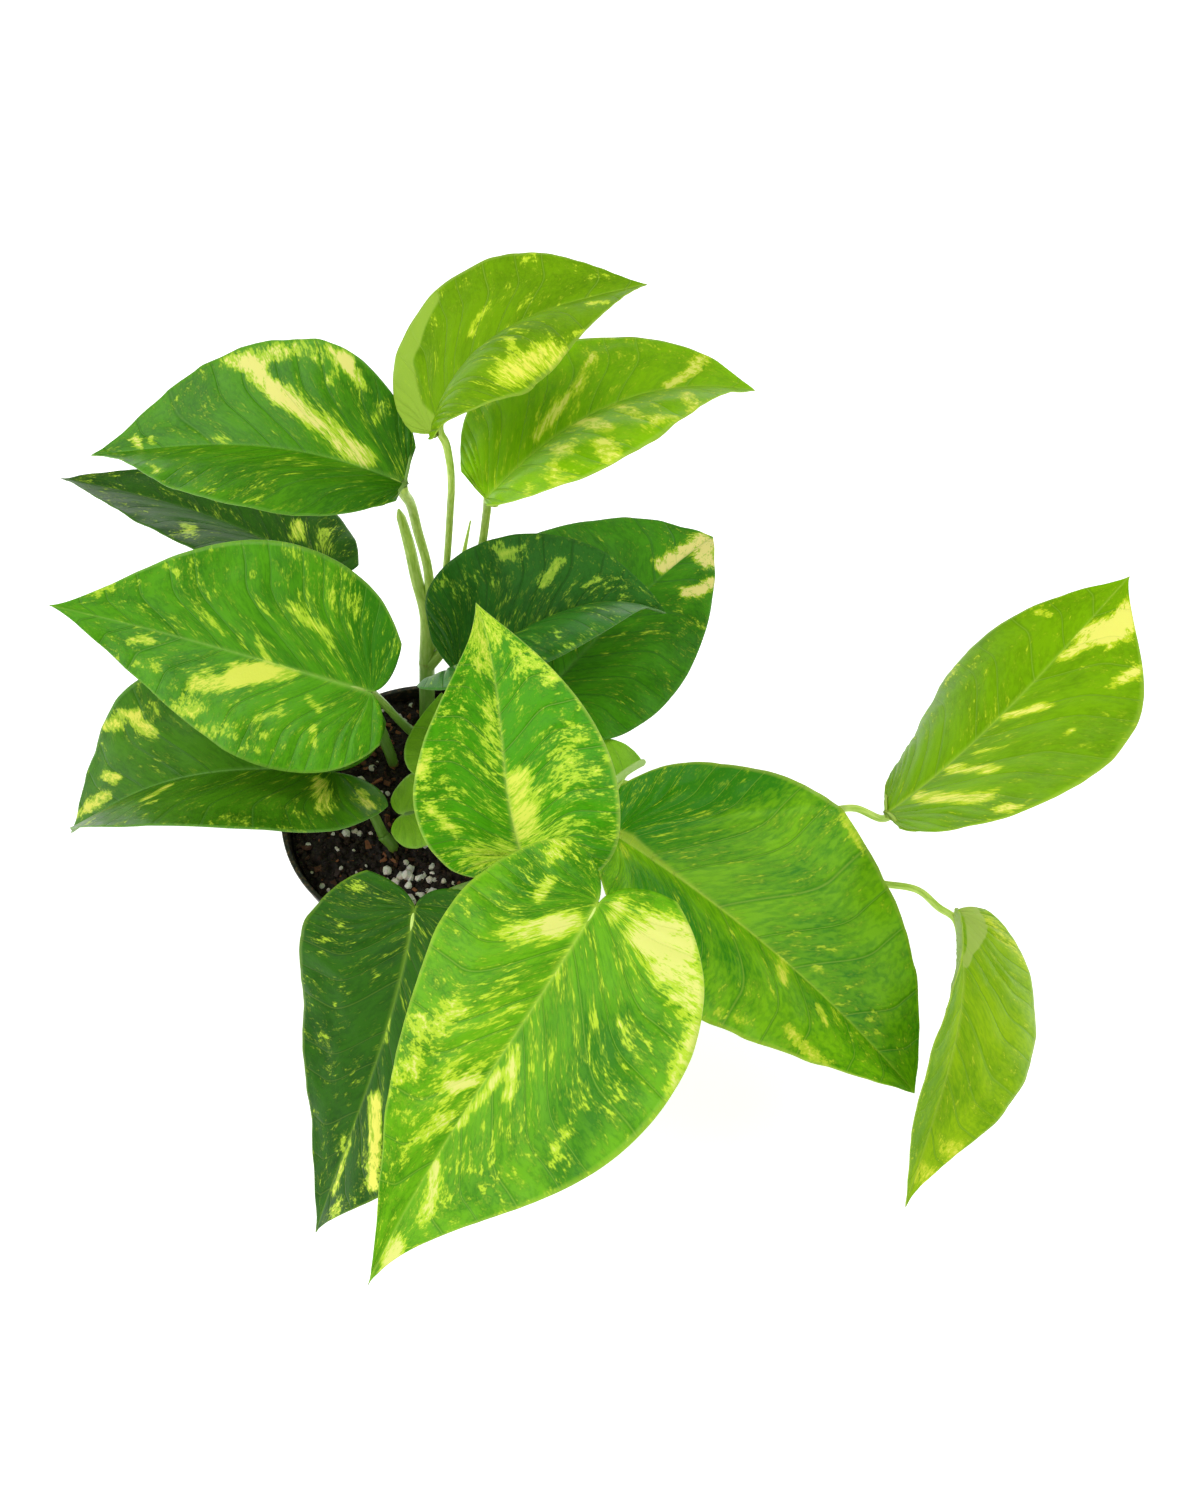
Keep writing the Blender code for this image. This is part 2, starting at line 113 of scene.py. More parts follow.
def fill(node: bpy.types.Node, values: dict) -> bpy.types.Node:
    """Give a node its settings and its links.

    Args:
        node: The node.
        values: What goes into it, by name or number. A node or an output socket is linked to the input of
            that name or number. Any other value sets the property of that name, or else that input.

    Returns:
        The same node.
    """
    for key, value in values.items():
        if isinstance(value, bpy.types.Node):
            value = value.outputs[MAIN_OUTPUT.get(value.bl_idname, 0)]
        if isinstance(value, bpy.types.NodeSocket):
            node.id_data.links.new(value, node.inputs[key])
        elif isinstance(key, str) and hasattr(node, key):
            setattr(node, key, value)
        else:
            node.inputs[key].default_value = value
    return node


def add_node(tree: bpy.types.NodeTree, kind: str, values: dict | None = None) -> bpy.types.Node:
    """Add one shader node with its settings and links.

    Args:
        tree: The node tree that it goes into.
        kind: Blender's name for the node type, without the word ShaderNode before it.
        values: What goes into it, as fill takes it.

    Returns:
        The new node.
    """
    return fill(tree.nodes.new(f"ShaderNode{kind}"), values or {})


def new_material(name: str) -> tuple[bpy.types.Material, bpy.types.NodeTree, bpy.types.Node]:
    """Make a material.

    Args:
        name: Its name.

    Returns:
        The material, its node tree and its Principled shader.
    """
    made = bpy.data.materials.new(name)
    made.use_nodes = True
    return made, made.node_tree, made.node_tree.nodes["Principled BSDF"]


@dataclass
class Shell:
    """A mesh in the making: vertices in millimetres, faces, and values that its finish reads.

    Attributes:
        vertices: Places, one row each.
        faces: Arrays of vertex numbers, one array for each face size.
        uv: A pattern place for each vertex.
        values: Named numbers for each vertex.
    """

    vertices: Array
    faces: list[Array]
    uv: Array | None = None
    values: dict[str, Array] = field(default_factory=dict)

    def to_object(self, name: str, material: bpy.types.Material, smooth: bool = True) -> bpy.types.Object:
        """Make the Blender object, with its place in its mesh.

        Args:
            name: The object's name.
            material: Its finish.
            smooth: Whether its faces are shaded as one smooth surface.

        Returns:
            The object, linked to the scene.
        """
        mesh = bpy.data.meshes.new(name)
        corners = [row for block in self.faces for row in block.tolist()]
        mesh.from_pydata((self.vertices * MM).tolist(), [], corners)
        mesh.materials.append(material)
        mesh.polygons.foreach_set("use_smooth", np.full(len(mesh.polygons), smooth))
        if self.uv is not None:
            owner = np.empty(len(mesh.loops), dtype=np.int32)
            mesh.loops.foreach_get("vertex_index", owner)
            layer = mesh.uv_layers.new(name="pattern")
            layer.data.foreach_set("uv", self.uv[owner].astype(np.float32).ravel())
        for key, numbers in self.values.items():
            attribute = mesh.attributes.new(key, "FLOAT", "POINT")
            attribute.data.foreach_set("value", numbers.astype(np.float32))
        item = bpy.data.objects.new(name, mesh)
        bpy.context.scene.collection.objects.link(item)
        return item

    @staticmethod
    def joined(shells: list[Shell]) -> Shell:
        """Put several shells into one, with their faces renumbered.

        Args:
            shells: The shells, which hold the same values.

        Returns:
            The one shell.
        """
        starts = np.cumsum([0] + [len(shell.vertices) for shell in shells])
        faces = [block + start for shell, start in zip(shells, starts) for block in shell.faces]
        uv = np.concatenate([shell.uv for shell in shells]) if shells[0].uv is not None else None
        values = {key: np.concatenate([shell.values[key] for shell in shells]) for key in shells[0].values}
        return Shell(np.concatenate([shell.vertices for shell in shells]), faces, uv, values)


def ripple(places: Array, wavelength: float, seed: int, waves: int = 7) -> Array:
    """Give a smooth random height at each place: a sum of sine waves in seeded directions.

    Args:
        places: Places in millimetres, with two or three numbers in the last axis.
        wavelength: The usual distance from crest to crest, in millimetres.
        seed: Chooses the waves.
        waves: How many waves are summed.

    Returns:
        Heights of about -1 to 1.
    """
    draw = np.random.default_rng(seed)
    directions = draw.normal(size=(waves, places.shape[-1]))
    directions /= np.linalg.norm(directions, axis=1, keepdims=True)
    directions *= 2 * np.pi / (wavelength * draw.uniform(0.7, 1.5, (waves, 1)))
    phases = draw.uniform(0, 2 * np.pi, waves)
    return np.sin(places @ directions.T + phases).sum(-1) / np.sqrt(waves)


class Tissue(Enum):
    """What a patch of blade is like: without green, a deeper green, or the dull pale underside turned up."""

    PALE = "pale"
    DEEP = "deep"
    DULL = "dull"


@dataclass(frozen=True)
class Splash:
    """A patch of blade that differs from the rest, drawn as a soft stroke over the flat blade.

    Attributes:
        side: The half of the blade.
        path: Points of the stroke, each by how far along the blade its row of the pattern starts, from 0 at
            the lobe to 1 at the tip, and how far out it is, from 0 at the midrib to 1 at the margin.
        width: Half the stroke's width in millimetres.
        strength: 1 for a clear patch, less for one that is broken up.
        tissue: What it is like.
    """

    side: Side
    path: tuple[Pair, ...]
    width: float = 2.5
    strength: float = 1.0
    tissue: Tissue = Tissue.PALE


@dataclass(frozen=True)
class Relief:
    """A crease or swelling in a blade, along a path given as a splash's is.

    Attributes:
        side: The half of the blade.
        path: Points of its middle line.
        width: Half its width in millimetres.
        lift: Its height in millimetres, negative for a crease.
    """

    side: Side
    path: tuple[Pair, ...]
    width: float
    lift: float


# The marbling's noises: sectors of about 24 by 17 mm, patches of 8 by 4, flecks of 3 by 1.5 and specks of
# 1.3 by 0.6, the longer way out along the veins: cells across the blade and along it, and each one's weight.
MARBLING = ((3.5, 7.0, 0.9), (11.0, 30.0, 1.5), (26.0, 80.0, 1.5), (66.0, 190.0, 1.0))
# How far apart in the noise the two halves of a blade lie, and two blades.
HALF_STEP, BLADE_STEP = 7.3, 3.7
# How much marbling there is: the noise's level over which a blade with none is yellow, and how much a wholly
# marbled one lowers it. Under it lies the lime halo, from the first gap to the second, and over it the yellow
# grows full by the third, and turns to cream from the fourth to the fifth.
PLAIN_LEVEL, MARBLED_DROP = 0.50, 0.36
HALO_BELOW, HALO_ABOVE, YELLOW_FULL, CREAM_FROM, CREAM_FULL = 0.34, 0.16, 0.22, 0.3, 0.72


@dataclass(frozen=True)
class LeafTone:
    """The colours of one leaf: a waxy living blade, glossy on top and dull beneath.

    The eye sees a fresh green that is darker between the veins, pale veins with shade painted in the creases
    beside them, a pale rim painted at the margin as an edge highlight, and yellow to cream marbling where the
    tissue has no green, broken up along the veins.

    Attributes:
        name: The tone's name, which its material takes.
        green: The main colour.
        deep: The darker green of older tissue, also painted as shade in the veins' creases and some creases.
        yellow: The colour of thin marbling.
        cream: The colour in the middle of a clear patch.
        rib: The midrib, and the margin's painted edge highlight.
        under: The dull underside.
        marbling: How much of the blade is marbled apart from its splashes; 0 is little, 1 a lot.
        gloss: The level of the wax's shine, as the shader counts it.
        roughness: How dull the wax is.
    """

    name: str
    green: str
    deep: str
    yellow: str
    cream: str
    rib: str
    under: str
    marbling: float = 0.3
    gloss: float = 0.11
    roughness: float = 0.35

    def material(self, seed: int) -> bpy.types.Material:
        """Make the blade's finish.

        The pattern map holds the blade's own measures: U is 0.5 at the midrib and 0 or 1 at the margins, and
        V follows the side veins. Marbling is noise stretched along the veins at four sizes, added to the
        splashes. The two halves differ, as they do on the plant. Round the yellow tissue lies a wider halo of
        lime green, and the paints go on in order: halo, painted shade along the veins, yellow, cream, the
        vein's core, midrib, the margin's painted edge highlight and the dull underside.

        Args:
            seed: Chooses the marbling.

        Returns:
            The material.
        """
        made, tree, shader = new_material(f"living leaf {self.name} {seed}")
        add = partial(add_node, tree)
        pattern = add("SeparateXYZ", {0: add("UVMap", {"uv_map": "pattern"})})
        across, along = pattern.outputs[0], pattern.outputs[1]
        pale, deep, dull, rib, margin, vein = (
            add("Attribute", {"attribute_name": key})
            for key in ("pale", "deep", "dull", "rib", "margin", "vein"))
        is_right = add("Math", {"operation": "GREATER_THAN", 0: across, 1: 0.5})
        layer = add("Math", {"operation": "MULTIPLY_ADD", 0: is_right, 1: HALF_STEP, 2: BLADE_STEP * seed})
        spot = add("CombineXYZ", {0: across, 1: along, 2: layer})
        total, noises = pale, []
        for cells_out, cells_along, weight in MARBLING:
            scaled = add("VectorMath", {"operation": "MULTIPLY", 0: spot, 1: (cells_out, cells_along, 1.0)})
            noises.append(add("TexNoise", {"Scale": 1.0, "Detail": 2.0, "Distortion": 0.3, "Vector": scaled}))
            centred = add("Math", {"operation": "SUBTRACT", 0: noises[-1], 1: 0.5})
            total = add("Math", {"operation": "MULTIPLY_ADD", 0: centred, 1: weight, 2: total})
        sectors, patches, flecks, _ = noises

        level = PLAIN_LEVEL - MARBLED_DROP * self.marbling
        halo = add("MapRange", {**SMOOTH, 0: total, LOW: level - HALO_BELOW, HIGH: level + HALO_ABOVE,
                                TO_HIGH: 0.36})
        thin = add("MapRange", {**SMOOTH, 0: total, LOW: level, HIGH: level + YELLOW_FULL})
        clear = add("MapRange", {**SMOOTH, 0: total, LOW: level + CREAM_FROM, HIGH: level + CREAM_FULL})
        sector = add("MapRange", {0: sectors, LOW: 0.36, HIGH: 0.64, TO_HIGH: 0.7})
        streak = add("MapRange", {0: flecks, LOW: 0.38, HIGH: 0.62, TO_LOW: -0.2, TO_HIGH: 0.3})
        aged = add("Math", {"operation": "ADD", 0: sector, 1: streak})
        darker = add("Math", {"operation": "ADD", "use_clamp": True, 0: aged, 1: deep})
        phase = add("Math", {"operation": "PINGPONG", 0: vein, 1: 0.5})
        # The vein line is painted shade: deep green laid in the creases beside each vein, round its pale
        # core.
        line = add("MapRange", {**SMOOTH, 0: phase, LOW: 0.43, HIGH: 0.5, TO_HIGH: 0.8})
        core = add("MapRange", {**SMOOTH, 0: phase, LOW: 0.475, HIGH: 0.5, TO_HIGH: 0.28})
        turned_up = add("MapRange", {**SMOOTH, 0: dull, LOW: 0.3, HIGH: 0.55, TO_HIGH: 0.85})
        colour = add("Mix", {**COLOURS, SHARE: darker, FIRST: linear(self.green), SECOND: linear(self.deep)})
        for share, paint in ((halo, self.yellow), (line, self.deep), (thin, self.yellow), (clear, self.cream),
                             (core, self.rib), (rib, self.rib), (margin, self.rib), (turned_up, self.under)):
            colour = add("Mix", {**COLOURS, SHARE: share, FIRST: colour, SECOND: linear(paint)})

        wax = add("MapRange", {0: patches, LOW: 0.3, HIGH: 0.7, TO_LOW: self.roughness - 0.04,
                               TO_HIGH: self.roughness + 0.08})
        matt = add("Math", {"operation": "MULTIPLY_ADD", 0: dull, 1: 0.2, 2: wax})
        # The skin's cells, 0.9 mm apart: the real ones are finer, and would not show.
        cells = add("TexNoise", {"Scale": 1100.0, "Detail": 2.0, "Vector": add("TexCoord")})
        raised = add("Math", {"operation": "MULTIPLY_ADD", 0: line, 1: -2.0, 2: cells})
        bump = add("Bump", {"Strength": 0.4, "Distance": 0.2 * MM, "Height": raised})
        fill(shader, {"Base Color": colour, "Roughness": matt, "Normal": bump, "IOR": 1.45,
                      "Specular IOR Level": self.gloss, "Subsurface Weight": 0.1,
                      "Subsurface Radius": (0.6, 1.0, 0.2), "Subsurface Scale": 1.2 * MM})
        return made


LIGHT = LeafTone("light", "#6e9c06", "#568204", "#b0cc26", "#dee058", "#a9c84c", "#93b43c", 0.25, 0.06)
SUNNY = LeafTone("sunny", "#86bc08", "#6ca40a", "#b8d228", "#e2e668", "#b0cf50", "#a5bf50", 0.34, 0.06)
AMBER = LeafTone("amber", "#92ba10", "#66980c", "#bccf2c", "#dadc50", "#a8c64c", "#a9c05c", 0.22, 0.08)
MEADOW = LeafTone("meadow", "#4c8c0a", "#2f6a06", "#a2c42a", "#dcd878", "#6a9e38", "#8aad58", 0.24)
MIDDLE = LeafTone("middle", "#52980c", "#307206", "#a0c42a", "#d4dc50", "#8ab848", "#8aad58", 0.34, 0.10)
GLADE = LeafTone("glade", "#7cb80c", "#348206", "#b0cc28", "#d8dc50", "#c0d84c", "#8aad58", 0.28, 0.13)
GRASS = LeafTone("grass", "#467e0e", "#2c5e0a", "#9cbb2c", "#d8d856", "#6a9c40", "#7a9a58", 0.26, 0.10)
IVY = LeafTone("ivy", "#468a12", "#2c680e", "#9cbb2c", "#e0d682", "#5c9038", "#7a9a58", 0.14, 0.07)
MOSS = LeafTone("moss", "#2d600a", "#1d480a", "#9cbb2c", "#e2e060", "#7a9e30", "#7a9a58", 0.20, 0.06)
DARK = LeafTone("dark", "#2e5c10", "#204610", "#9cbc32", "#d2da58", "#527c30", "#7a9a5c", 0.24, 0.07)
BLUE_DARK = LeafTone(
    "blue dark", "#3a7a26", "#245c16", "#a4cc40", "#c4dc50", "#4c7c34", "#7a9a68", 0.42, 0.10)
LEMON = LeafTone("lemon", "#78aa06", "#5e8e04", "#b8cf24", "#e8e66e", "#a9ca46", "#a5bf50", 0.25, 0.04)
MARBLED = LeafTone("marbled", "#4a990a", "#2d7506", "#aacf30", "#d8e058", "#aecb58", "#8fb25a", 0.78, 0.07)
FRESH = LeafTone("fresh", "#66a810", "#367a08", "#b0d02c", "#d8dc76", "#acd044", "#94b95e", 0.62, 0.10, 0.38)
# The young blades' pale green is raised further to make up for the shade they lie in: partly painted light.
BABY = LeafTone("baby", "#8ac02a", "#72a81e", "#a9c848", "#d8e284", "#a4c864", "#a2c06c", 0.05, 0.14, 0.42)


# The margin's curve: the share of it at which the first row starts, and how its rows crowd there.
MARGIN_START, MARGIN_CROWDING = 0.14, 1.7
# The side veins: how their starts crowd on the midrib, how far along and how far out each bends, and how far
# those of the lobes bend back.
VEIN_CROWDING, VEIN_BEND, VEIN_BULGE, LOBE_DROOP = 1.75, 0.30, 0.55, 0.02
# The notch's edge: how far along and out its curve bends, and the row by which it has passed into a vein.
NOTCH_BEND, NOTCH_BULGE, NOTCH_ROW = 0.45, 0.35, 0.077
# How far out a vein climbs, and how far below the blade's base the lobes' veins fan out.
VEIN_CLIMB, LOBE_FAN = 0.65, 0.5
# The pillows between the veins: how broad their tops are, how deep their edges lie, and how much they vary.
PILLOW_POWER, PILLOW_EDGE, PILLOW_VARIETY = 0.7, 0.6, 0.7
# How the side veins' spacing varies: how far in veins, how fast along the midrib, and by how many seeds.
VEIN_WANDER = ((0.2, 9.0, 1), (0.15, 23.0, 2))
# Two slow swells of the blade: height and wavelength. The midrib's groove and ridge: half their widths.
SWELLS = ((0.35, 17.0), (0.08, 6.0))
GROOVE_WIDTH, RIDGE_WIDTH = 0.8, 0.85
# The margin's waves along each half, and how much the right half's lag.
WAVE_COUNT, WAVE_LAG = 2.5, 0.3
# The rim's painted edge highlight starts here, is full after this share of the way out, and shows the
# rib's colour by this much.
RIM_START, RIM_FADE, RIM_LEVEL = 0.975, 0.02, 0.6
# The underside's level of dullness.
UNDERSIDE = 0.65


@dataclass
class Blade:
    """One heart-shaped leaf blade, from the end of its petiole to its tip.

    Pairs are left and right as seen from the base looking to the tip with the glossy face up, except arch and
    sweep, which belong to one third and two thirds of the midrib's length.

    Attributes:
        name: The blade's node in the frame.
        base: The end of its petiole.
        tip: Its point.
        tone: Its colours.
        slot: The record's slot for its finish; not used.
        roll: How far it is turned about the line from base to tip.
        twist: How much further its tip is turned.
        half: Its half widths.
        lobes: How far its lobes reach back past its base.
        arch: How far the midrib is lifted.
        sweep: How far the midrib is shifted to the right.
        fold: How steeply each half rises from the midrib.
        curl: How far each half turns down on its way to the margin.
        shoulder: The power with which the margin rises from the lobe.
        taper: The power with which it falls to the tip.
        waves: The height of the margin's waves.
        veins: How many side veins there are.
        slant: How far along the blade they run on their way out.
        quilting: The height of the pillows between them.
        splashes: Its patches.
        reliefs: Its creases and swellings.
        rows: Rows of the mesh from lobe to tip.
        columns: Columns of the mesh from midrib to margin.
        lamina: Its thickness.
        ridge: The height of the ridge under the midrib.
        groove: The depth of the groove over the midrib.
    """

    name: str
    base: Point
    tip: Point
    tone: LeafTone
    slot: Slot
    roll: float = 0.0
    twist: float = 0.0
    half: Pair = (40, 40)
    lobes: Pair = (15, 15)
    arch: Pair = (8, 6)
    sweep: Pair = (0, 0)
    fold: Pair = (15, 15)
    curl: Pair = (15, 15)
    shoulder: float = 0.55
    taper: float = 1.2
    waves: float = 0.0
    veins: int = 9
    slant: Pair = (0.3, 0.3)
    quilting: float = 0.75
    splashes: tuple[Splash, ...] = ()
    reliefs: tuple[Relief, ...] = ()
    rows: int = 120
    columns: int = 28
    lamina: float = 0.45
    ridge: float = 1.0
    groove: float = 0.35

    def __post_init__(self) -> None:
        """Work out the midrib: a cubic curve from base to tip, lifted by arch and shifted by sweep."""
        base, tip = np.array(self.base, float), np.array(self.tip, float)
        self.seed = sum(ord(letter) for letter in self.name) % 97
        self.chord = (tip - base) / np.linalg.norm(tip - base)
        level = np.array([0.0, 0.0, 1.0])
        level = level - self.chord * self.chord[2]
        level /= np.linalg.norm(level)
        turn = np.radians(self.roll)
        self.normal = level * np.cos(turn) + np.cross(self.chord, level) * np.sin(turn)
        self.side = np.cross(self.chord, self.normal)
        inner = [base + (tip - base) * share + self.normal * lift + self.side * shift
                 for share, lift, shift in zip((0.33, 0.67), self.arch, self.sweep)]
        s = np.linspace(0, 1, 121)[:, None]
        self.line = ((1 - s) ** 3 * base + 3 * s * (1 - s) ** 2 * inner[0]
                     + 3 * s**2 * (1 - s) * inner[1] + s**3 * tip)
        self.distance = np.concatenate(([0.0], np.cumsum(np.linalg.norm(np.diff(self.line, axis=0), axis=1))))
        self.length = float(self.distance[-1])
        self.heading = np.gradient(self.line, axis=0)
        self.heading /= np.linalg.norm(self.heading, axis=1, keepdims=True)

    def midrib(self, x: Array) -> tuple[Array, Array, Array, Array]:
        """Give the midrib's place and directions at distances from the base.

        Args:
            x: Distances in millimetres; a negative one goes straight back from the base.

        Returns:
            The places, and the forward, upward and rightward directions there.
        """
        inside = np.clip(x, 0, self.length)
        place = np.stack([np.interp(inside, self.distance, self.line[:, k]) for k in range(3)], -1)
        forward = np.stack([np.interp(inside, self.distance, self.heading[:, k]) for k in range(3)], -1)
        forward /= np.linalg.norm(forward, axis=-1, keepdims=True)
        turn = (np.radians(self.twist) * inside / self.length)[..., None]
        up = self.normal * np.cos(turn) + self.side * np.sin(turn)
        up = up - forward * (up * forward).sum(-1, keepdims=True)
        up /= np.linalg.norm(up, axis=-1, keepdims=True)
        place = place + forward * np.minimum(x, 0)[..., None]
        return place, forward, up, np.cross(forward, up)

    def flat(self, q: Array, t: Array, right: int) -> tuple[Array, Array]:
        """Give half of the blade laid flat.

        The margin is a power curve, rising at the lobe and falling to the tip. Each vein is a quadratic curve
        that leaves the midrib, bends towards the tip and ends at the margin. Row 0 is the open edge of the
        notch by the petiole, a cubic curve that rounds into the lobe.

        Args:
            q: Where the vein starts, from 0 at the lobe to 1 at the tip.
            t: How far out along the vein, from 0 to 1.
            right: 1 for the right half and 0 for the left.

        Returns:
            The distance along the midrib and the distance out from it.
        """
        half, lobe = self.half[right], self.lobes[right]
        share = (MARGIN_START + (1 - MARGIN_START) * q) ** MARGIN_CROWDING
        peak = self.shoulder / (self.shoulder + self.taper)
        widest = peak**self.shoulder * (1 - peak) ** self.taper
        end_y = half * share**self.shoulder * (1 - share) ** self.taper / widest
        end_x = -lobe + (self.length + lobe) * share
        start = self.length * q**VEIN_CROWDING
        bend = start + VEIN_BEND * (end_x - start) - LOBE_DROOP * self.length * (1 - q)
        x = (1 - t) ** 2 * start + 2 * t * (1 - t) * bend + t**2 * end_x
        y = 2 * t * (1 - t) * VEIN_BULGE * end_y + t**2 * end_y
        notch_x = 3 * t * (1 - t) ** 2 * NOTCH_BEND * end_x + (3 * t**2 * (1 - t) + t**3) * end_x
        notch_y = (3 * t**2 * (1 - t) * NOTCH_BULGE + t**3) * end_y
        near = np.clip(1 - q / NOTCH_ROW, 0, 1)
        return x + (notch_x - x) * near, y + (notch_y - y) * near

    def along_veins(self, q: Array, t: Array) -> Array:
        """Give a measure that stays the same along each side vein: 0 to 1 up the midrib, less in the lobes.

        A vein that leaves the midrib at v reaches row v + (1 - v) g out at t, where g rises as a quarter sine
        up to the blade's slant. Below the vein from the very base, the veins of the lobe fan out from there.

        Args:
            q: Each point's row.
            t: How far out it is, from -1 to 1.

        Returns:
            The measure.
        """
        slant = np.where(t > 0, self.slant[1], self.slant[0])
        g = slant * np.sin(np.pi / 2 * np.minimum(np.abs(t) / VEIN_CLIMB, 1)) + 1e-6
        return np.where(q >= g, (q - g) / (1 - g), -LOBE_FAN * (1 - q / g))

    def vein_number(self, v: Array) -> Array:
        """Count the side veins up to a place on the midrib, at spacings that vary a little."""
        wander = [reach * np.sin(pace * v + seeds * self.seed) for reach, pace, seeds in VEIN_WANDER]
        return self.veins * v + wander[0] + wander[1]

    def stroke(self, mark: Splash | Relief, q: Array, t: Array, power: float = 3.0) -> Array:
        """Give a stroke over the flat blade: 1 on its path, and exp(-(gap / width)^power) away from it.

        Args:
            mark: The splash or relief with the path.
            q: Each point's row.
            t: How far out it is, from -1 to 1.
            power: 3 for a patch with clear edges, 1 for a crease with a sharp crest.

        Returns:
            The stroke's level at each point.
        """
        right = 1 if mark.side is Side.RIGHT else 0
        place = np.stack(self.flat(q, np.abs(t), right), -1)
        knots = np.stack(self.flat(*np.array(mark.path).T, right), -1)
        knots = knots if len(knots) > 1 else np.concatenate([knots, knots + 1e-3])
        start, step = knots[:-1], np.diff(knots, axis=0)
        share = ((place[..., None, :] - start) * step).sum(-1) / np.maximum((step**2).sum(-1), 1e-9)
        nearest = start + np.clip(share, 0, 1)[..., None] * step
        gap = np.linalg.norm(place[..., None, :] - nearest, axis=-1).min(-1)
        return np.exp(-((gap / mark.width) ** power)) * (t * mark.side.value >= 0)

    def top(self, q: Array, t: Array) -> tuple[Array, Array]:
        """Give the glossy face in space, and how far out from the midrib each of its points is.

        Across the midrib the blade is an arc: it rises at the fold angle and turns down by the curl angle on
        its way to the margin. Its height gets the margin's waves, the pillows between the side veins, the
        groove over the midrib, and the blade's own creases.

        Args:
            q: Each point's row, from 0 to 1.
            t: How far out it is, from -1 at the left margin to 1 at the right one.

        Returns:
            Places with three numbers each, and distances out in millimetres.
        """
        out, places = np.abs(t), []
        vein = self.vein_number(self.along_veins(q, t))
        pillow = self.quilting * (np.abs(np.cos(np.pi * vein)) ** PILLOW_POWER - PILLOW_EDGE)
        pillow = pillow * (1 + PILLOW_VARIETY * np.sin(2.1 * vein + self.seed) * np.sin(7 * t + self.seed))
        creases = (relief.lift * self.stroke(relief, q, t, 1.0) for relief in self.reliefs)
        lift = sum(creases, np.zeros_like(q))
        for right in (0, 1):
            x, y = self.flat(q, out, right)
            half = self.half[right]
            fold, bend = np.radians(self.fold[right]), np.radians(self.curl[right] or 0.1) / half
            across = (np.sin(fold) - np.sin(fold - bend * y)) / bend
            height = (np.cos(fold - bend * y) - np.cos(fold)) / bend
            wave = np.sin(2 * np.pi * (WAVE_COUNT * q + WAVE_LAG * right))
            height = height + self.waves * (y / half) ** 2 * wave
            height = height + pillow * (4 * out * (1 - out)) ** 0.8 * (1 - q) ** 0.4
            for step, (swell, wavelength) in enumerate(SWELLS):
                height = height + swell * out * ripple(np.stack([x, y], -1), wavelength, self.seed + step)
            height = height + lift
            height = height - self.groove * np.exp(-((y / GROOVE_WIDTH) ** 2)) * (1 - q)
            place, _, up, side = self.midrib(x)
            sign = 1 if right else -1
            places.append((place + side * (sign * across)[..., None] + up * height[..., None], y))
        (left, left_out), (right, right_out) = places
        return np.where(t[..., None] > 0, right, left), np.where(t > 0, right_out, left_out)

    def level(self, tissue: Tissue, q: Array, t: Array) -> Array:
        """Add up the blade's splashes of one kind of tissue."""
        marks = [splash for splash in self.splashes if splash.tissue is tissue]
        return sum((mark.strength * self.stroke(mark, q, t) for mark in marks), np.zeros_like(q))

    def shell(self) -> Shell:
        """Make the closed blade: the glossy face, the underside with its midrib ridge, and the rim between.

        The underside lies along the glossy face's normals, a lamina's thickness away that thins towards the
        margin, and deeper by the ridge. The midrib's colour is a band that narrows to the tip.

        Returns:
            The blade, with its pattern map and the values that its finish reads.
        """
        q = np.linspace(0, 1, self.rows + 1)
        step = np.linspace(0, 1, self.columns + 1) ** 1.35
        t = np.concatenate((-step[:0:-1], step))
        grid_q, grid_t = np.meshgrid(q, t, indexing="ij")
        top, out = self.top(grid_q, grid_t)
        normal = np.cross(np.gradient(top, axis=1), np.gradient(top, axis=0))
        normal[-1] = normal[-3]
        normal = normal / np.maximum(np.linalg.norm(normal, axis=-1, keepdims=True), 1e-9)
        thick = self.lamina * (1 - 0.35 * np.abs(grid_t) ** 6)
        thick = thick + self.ridge * np.exp(-((out / RIDGE_WIDTH) ** 2)) * (1 - grid_q) ** 0.7
        under = top - normal * thick[..., None]
        tip_top, tip_under = top[-1].mean(0), under[-1].mean(0)
        top, under = top[:-1], under[:-1]
        rows, columns = top.shape[:2]
        count = rows * columns
        number = np.arange(count).reshape(rows, columns)
        last_top, last_under = 2 * count, 2 * count + 1
        face = np.stack([number[:-1, :-1], number[:-1, 1:], number[1:, 1:], number[1:, :-1]], -1)
        face = face.reshape(-1, 4)
        before, after = number[-1, :-1], number[-1, 1:]
        end = np.stack([before, after, np.full(columns - 1, last_top)], -1)
        end_under = np.stack([after + count, before + count, np.full(columns - 1, last_under)], -1)
        rim = np.concatenate([number[0, ::-1], number[1:, 0], [last_top], number[::-1, -1][:-1]])
        low = np.where(rim == last_top, last_under, rim + count)
        wall = np.stack([rim, np.roll(rim, -1), np.roll(low, -1), low], -1)
        vertices = np.concatenate([top.reshape(-1, 3), under.reshape(-1, 3), [tip_top], [tip_under]])
        flat_q, flat_t = grid_q[:-1].ravel(), grid_t[:-1].ravel()
        flat_v = self.along_veins(flat_q, flat_t)
        pattern = np.stack([flat_t / 2 + 0.5, flat_v], -1)
        uv = np.concatenate([pattern, pattern, [[0.5, 1.0]] * 2])
        rib = np.exp(-((out[:-1].ravel() / (0.95 - 0.65 * flat_q)) ** 2)) * (0.75 - 0.45 * flat_q)
        # The margin's rim is painted in the rib's pale colour as an edge highlight.
        margin = np.clip((np.abs(flat_t) - RIM_START) / RIM_FADE, 0, 1) * RIM_LEVEL
        dull = self.level(Tissue.DULL, flat_q, flat_t)

        def both(numbers: Array, tip: float) -> Array:
            """Give the same numbers to both faces, and one to the tip."""
            return np.concatenate([numbers, numbers, [tip, tip]])

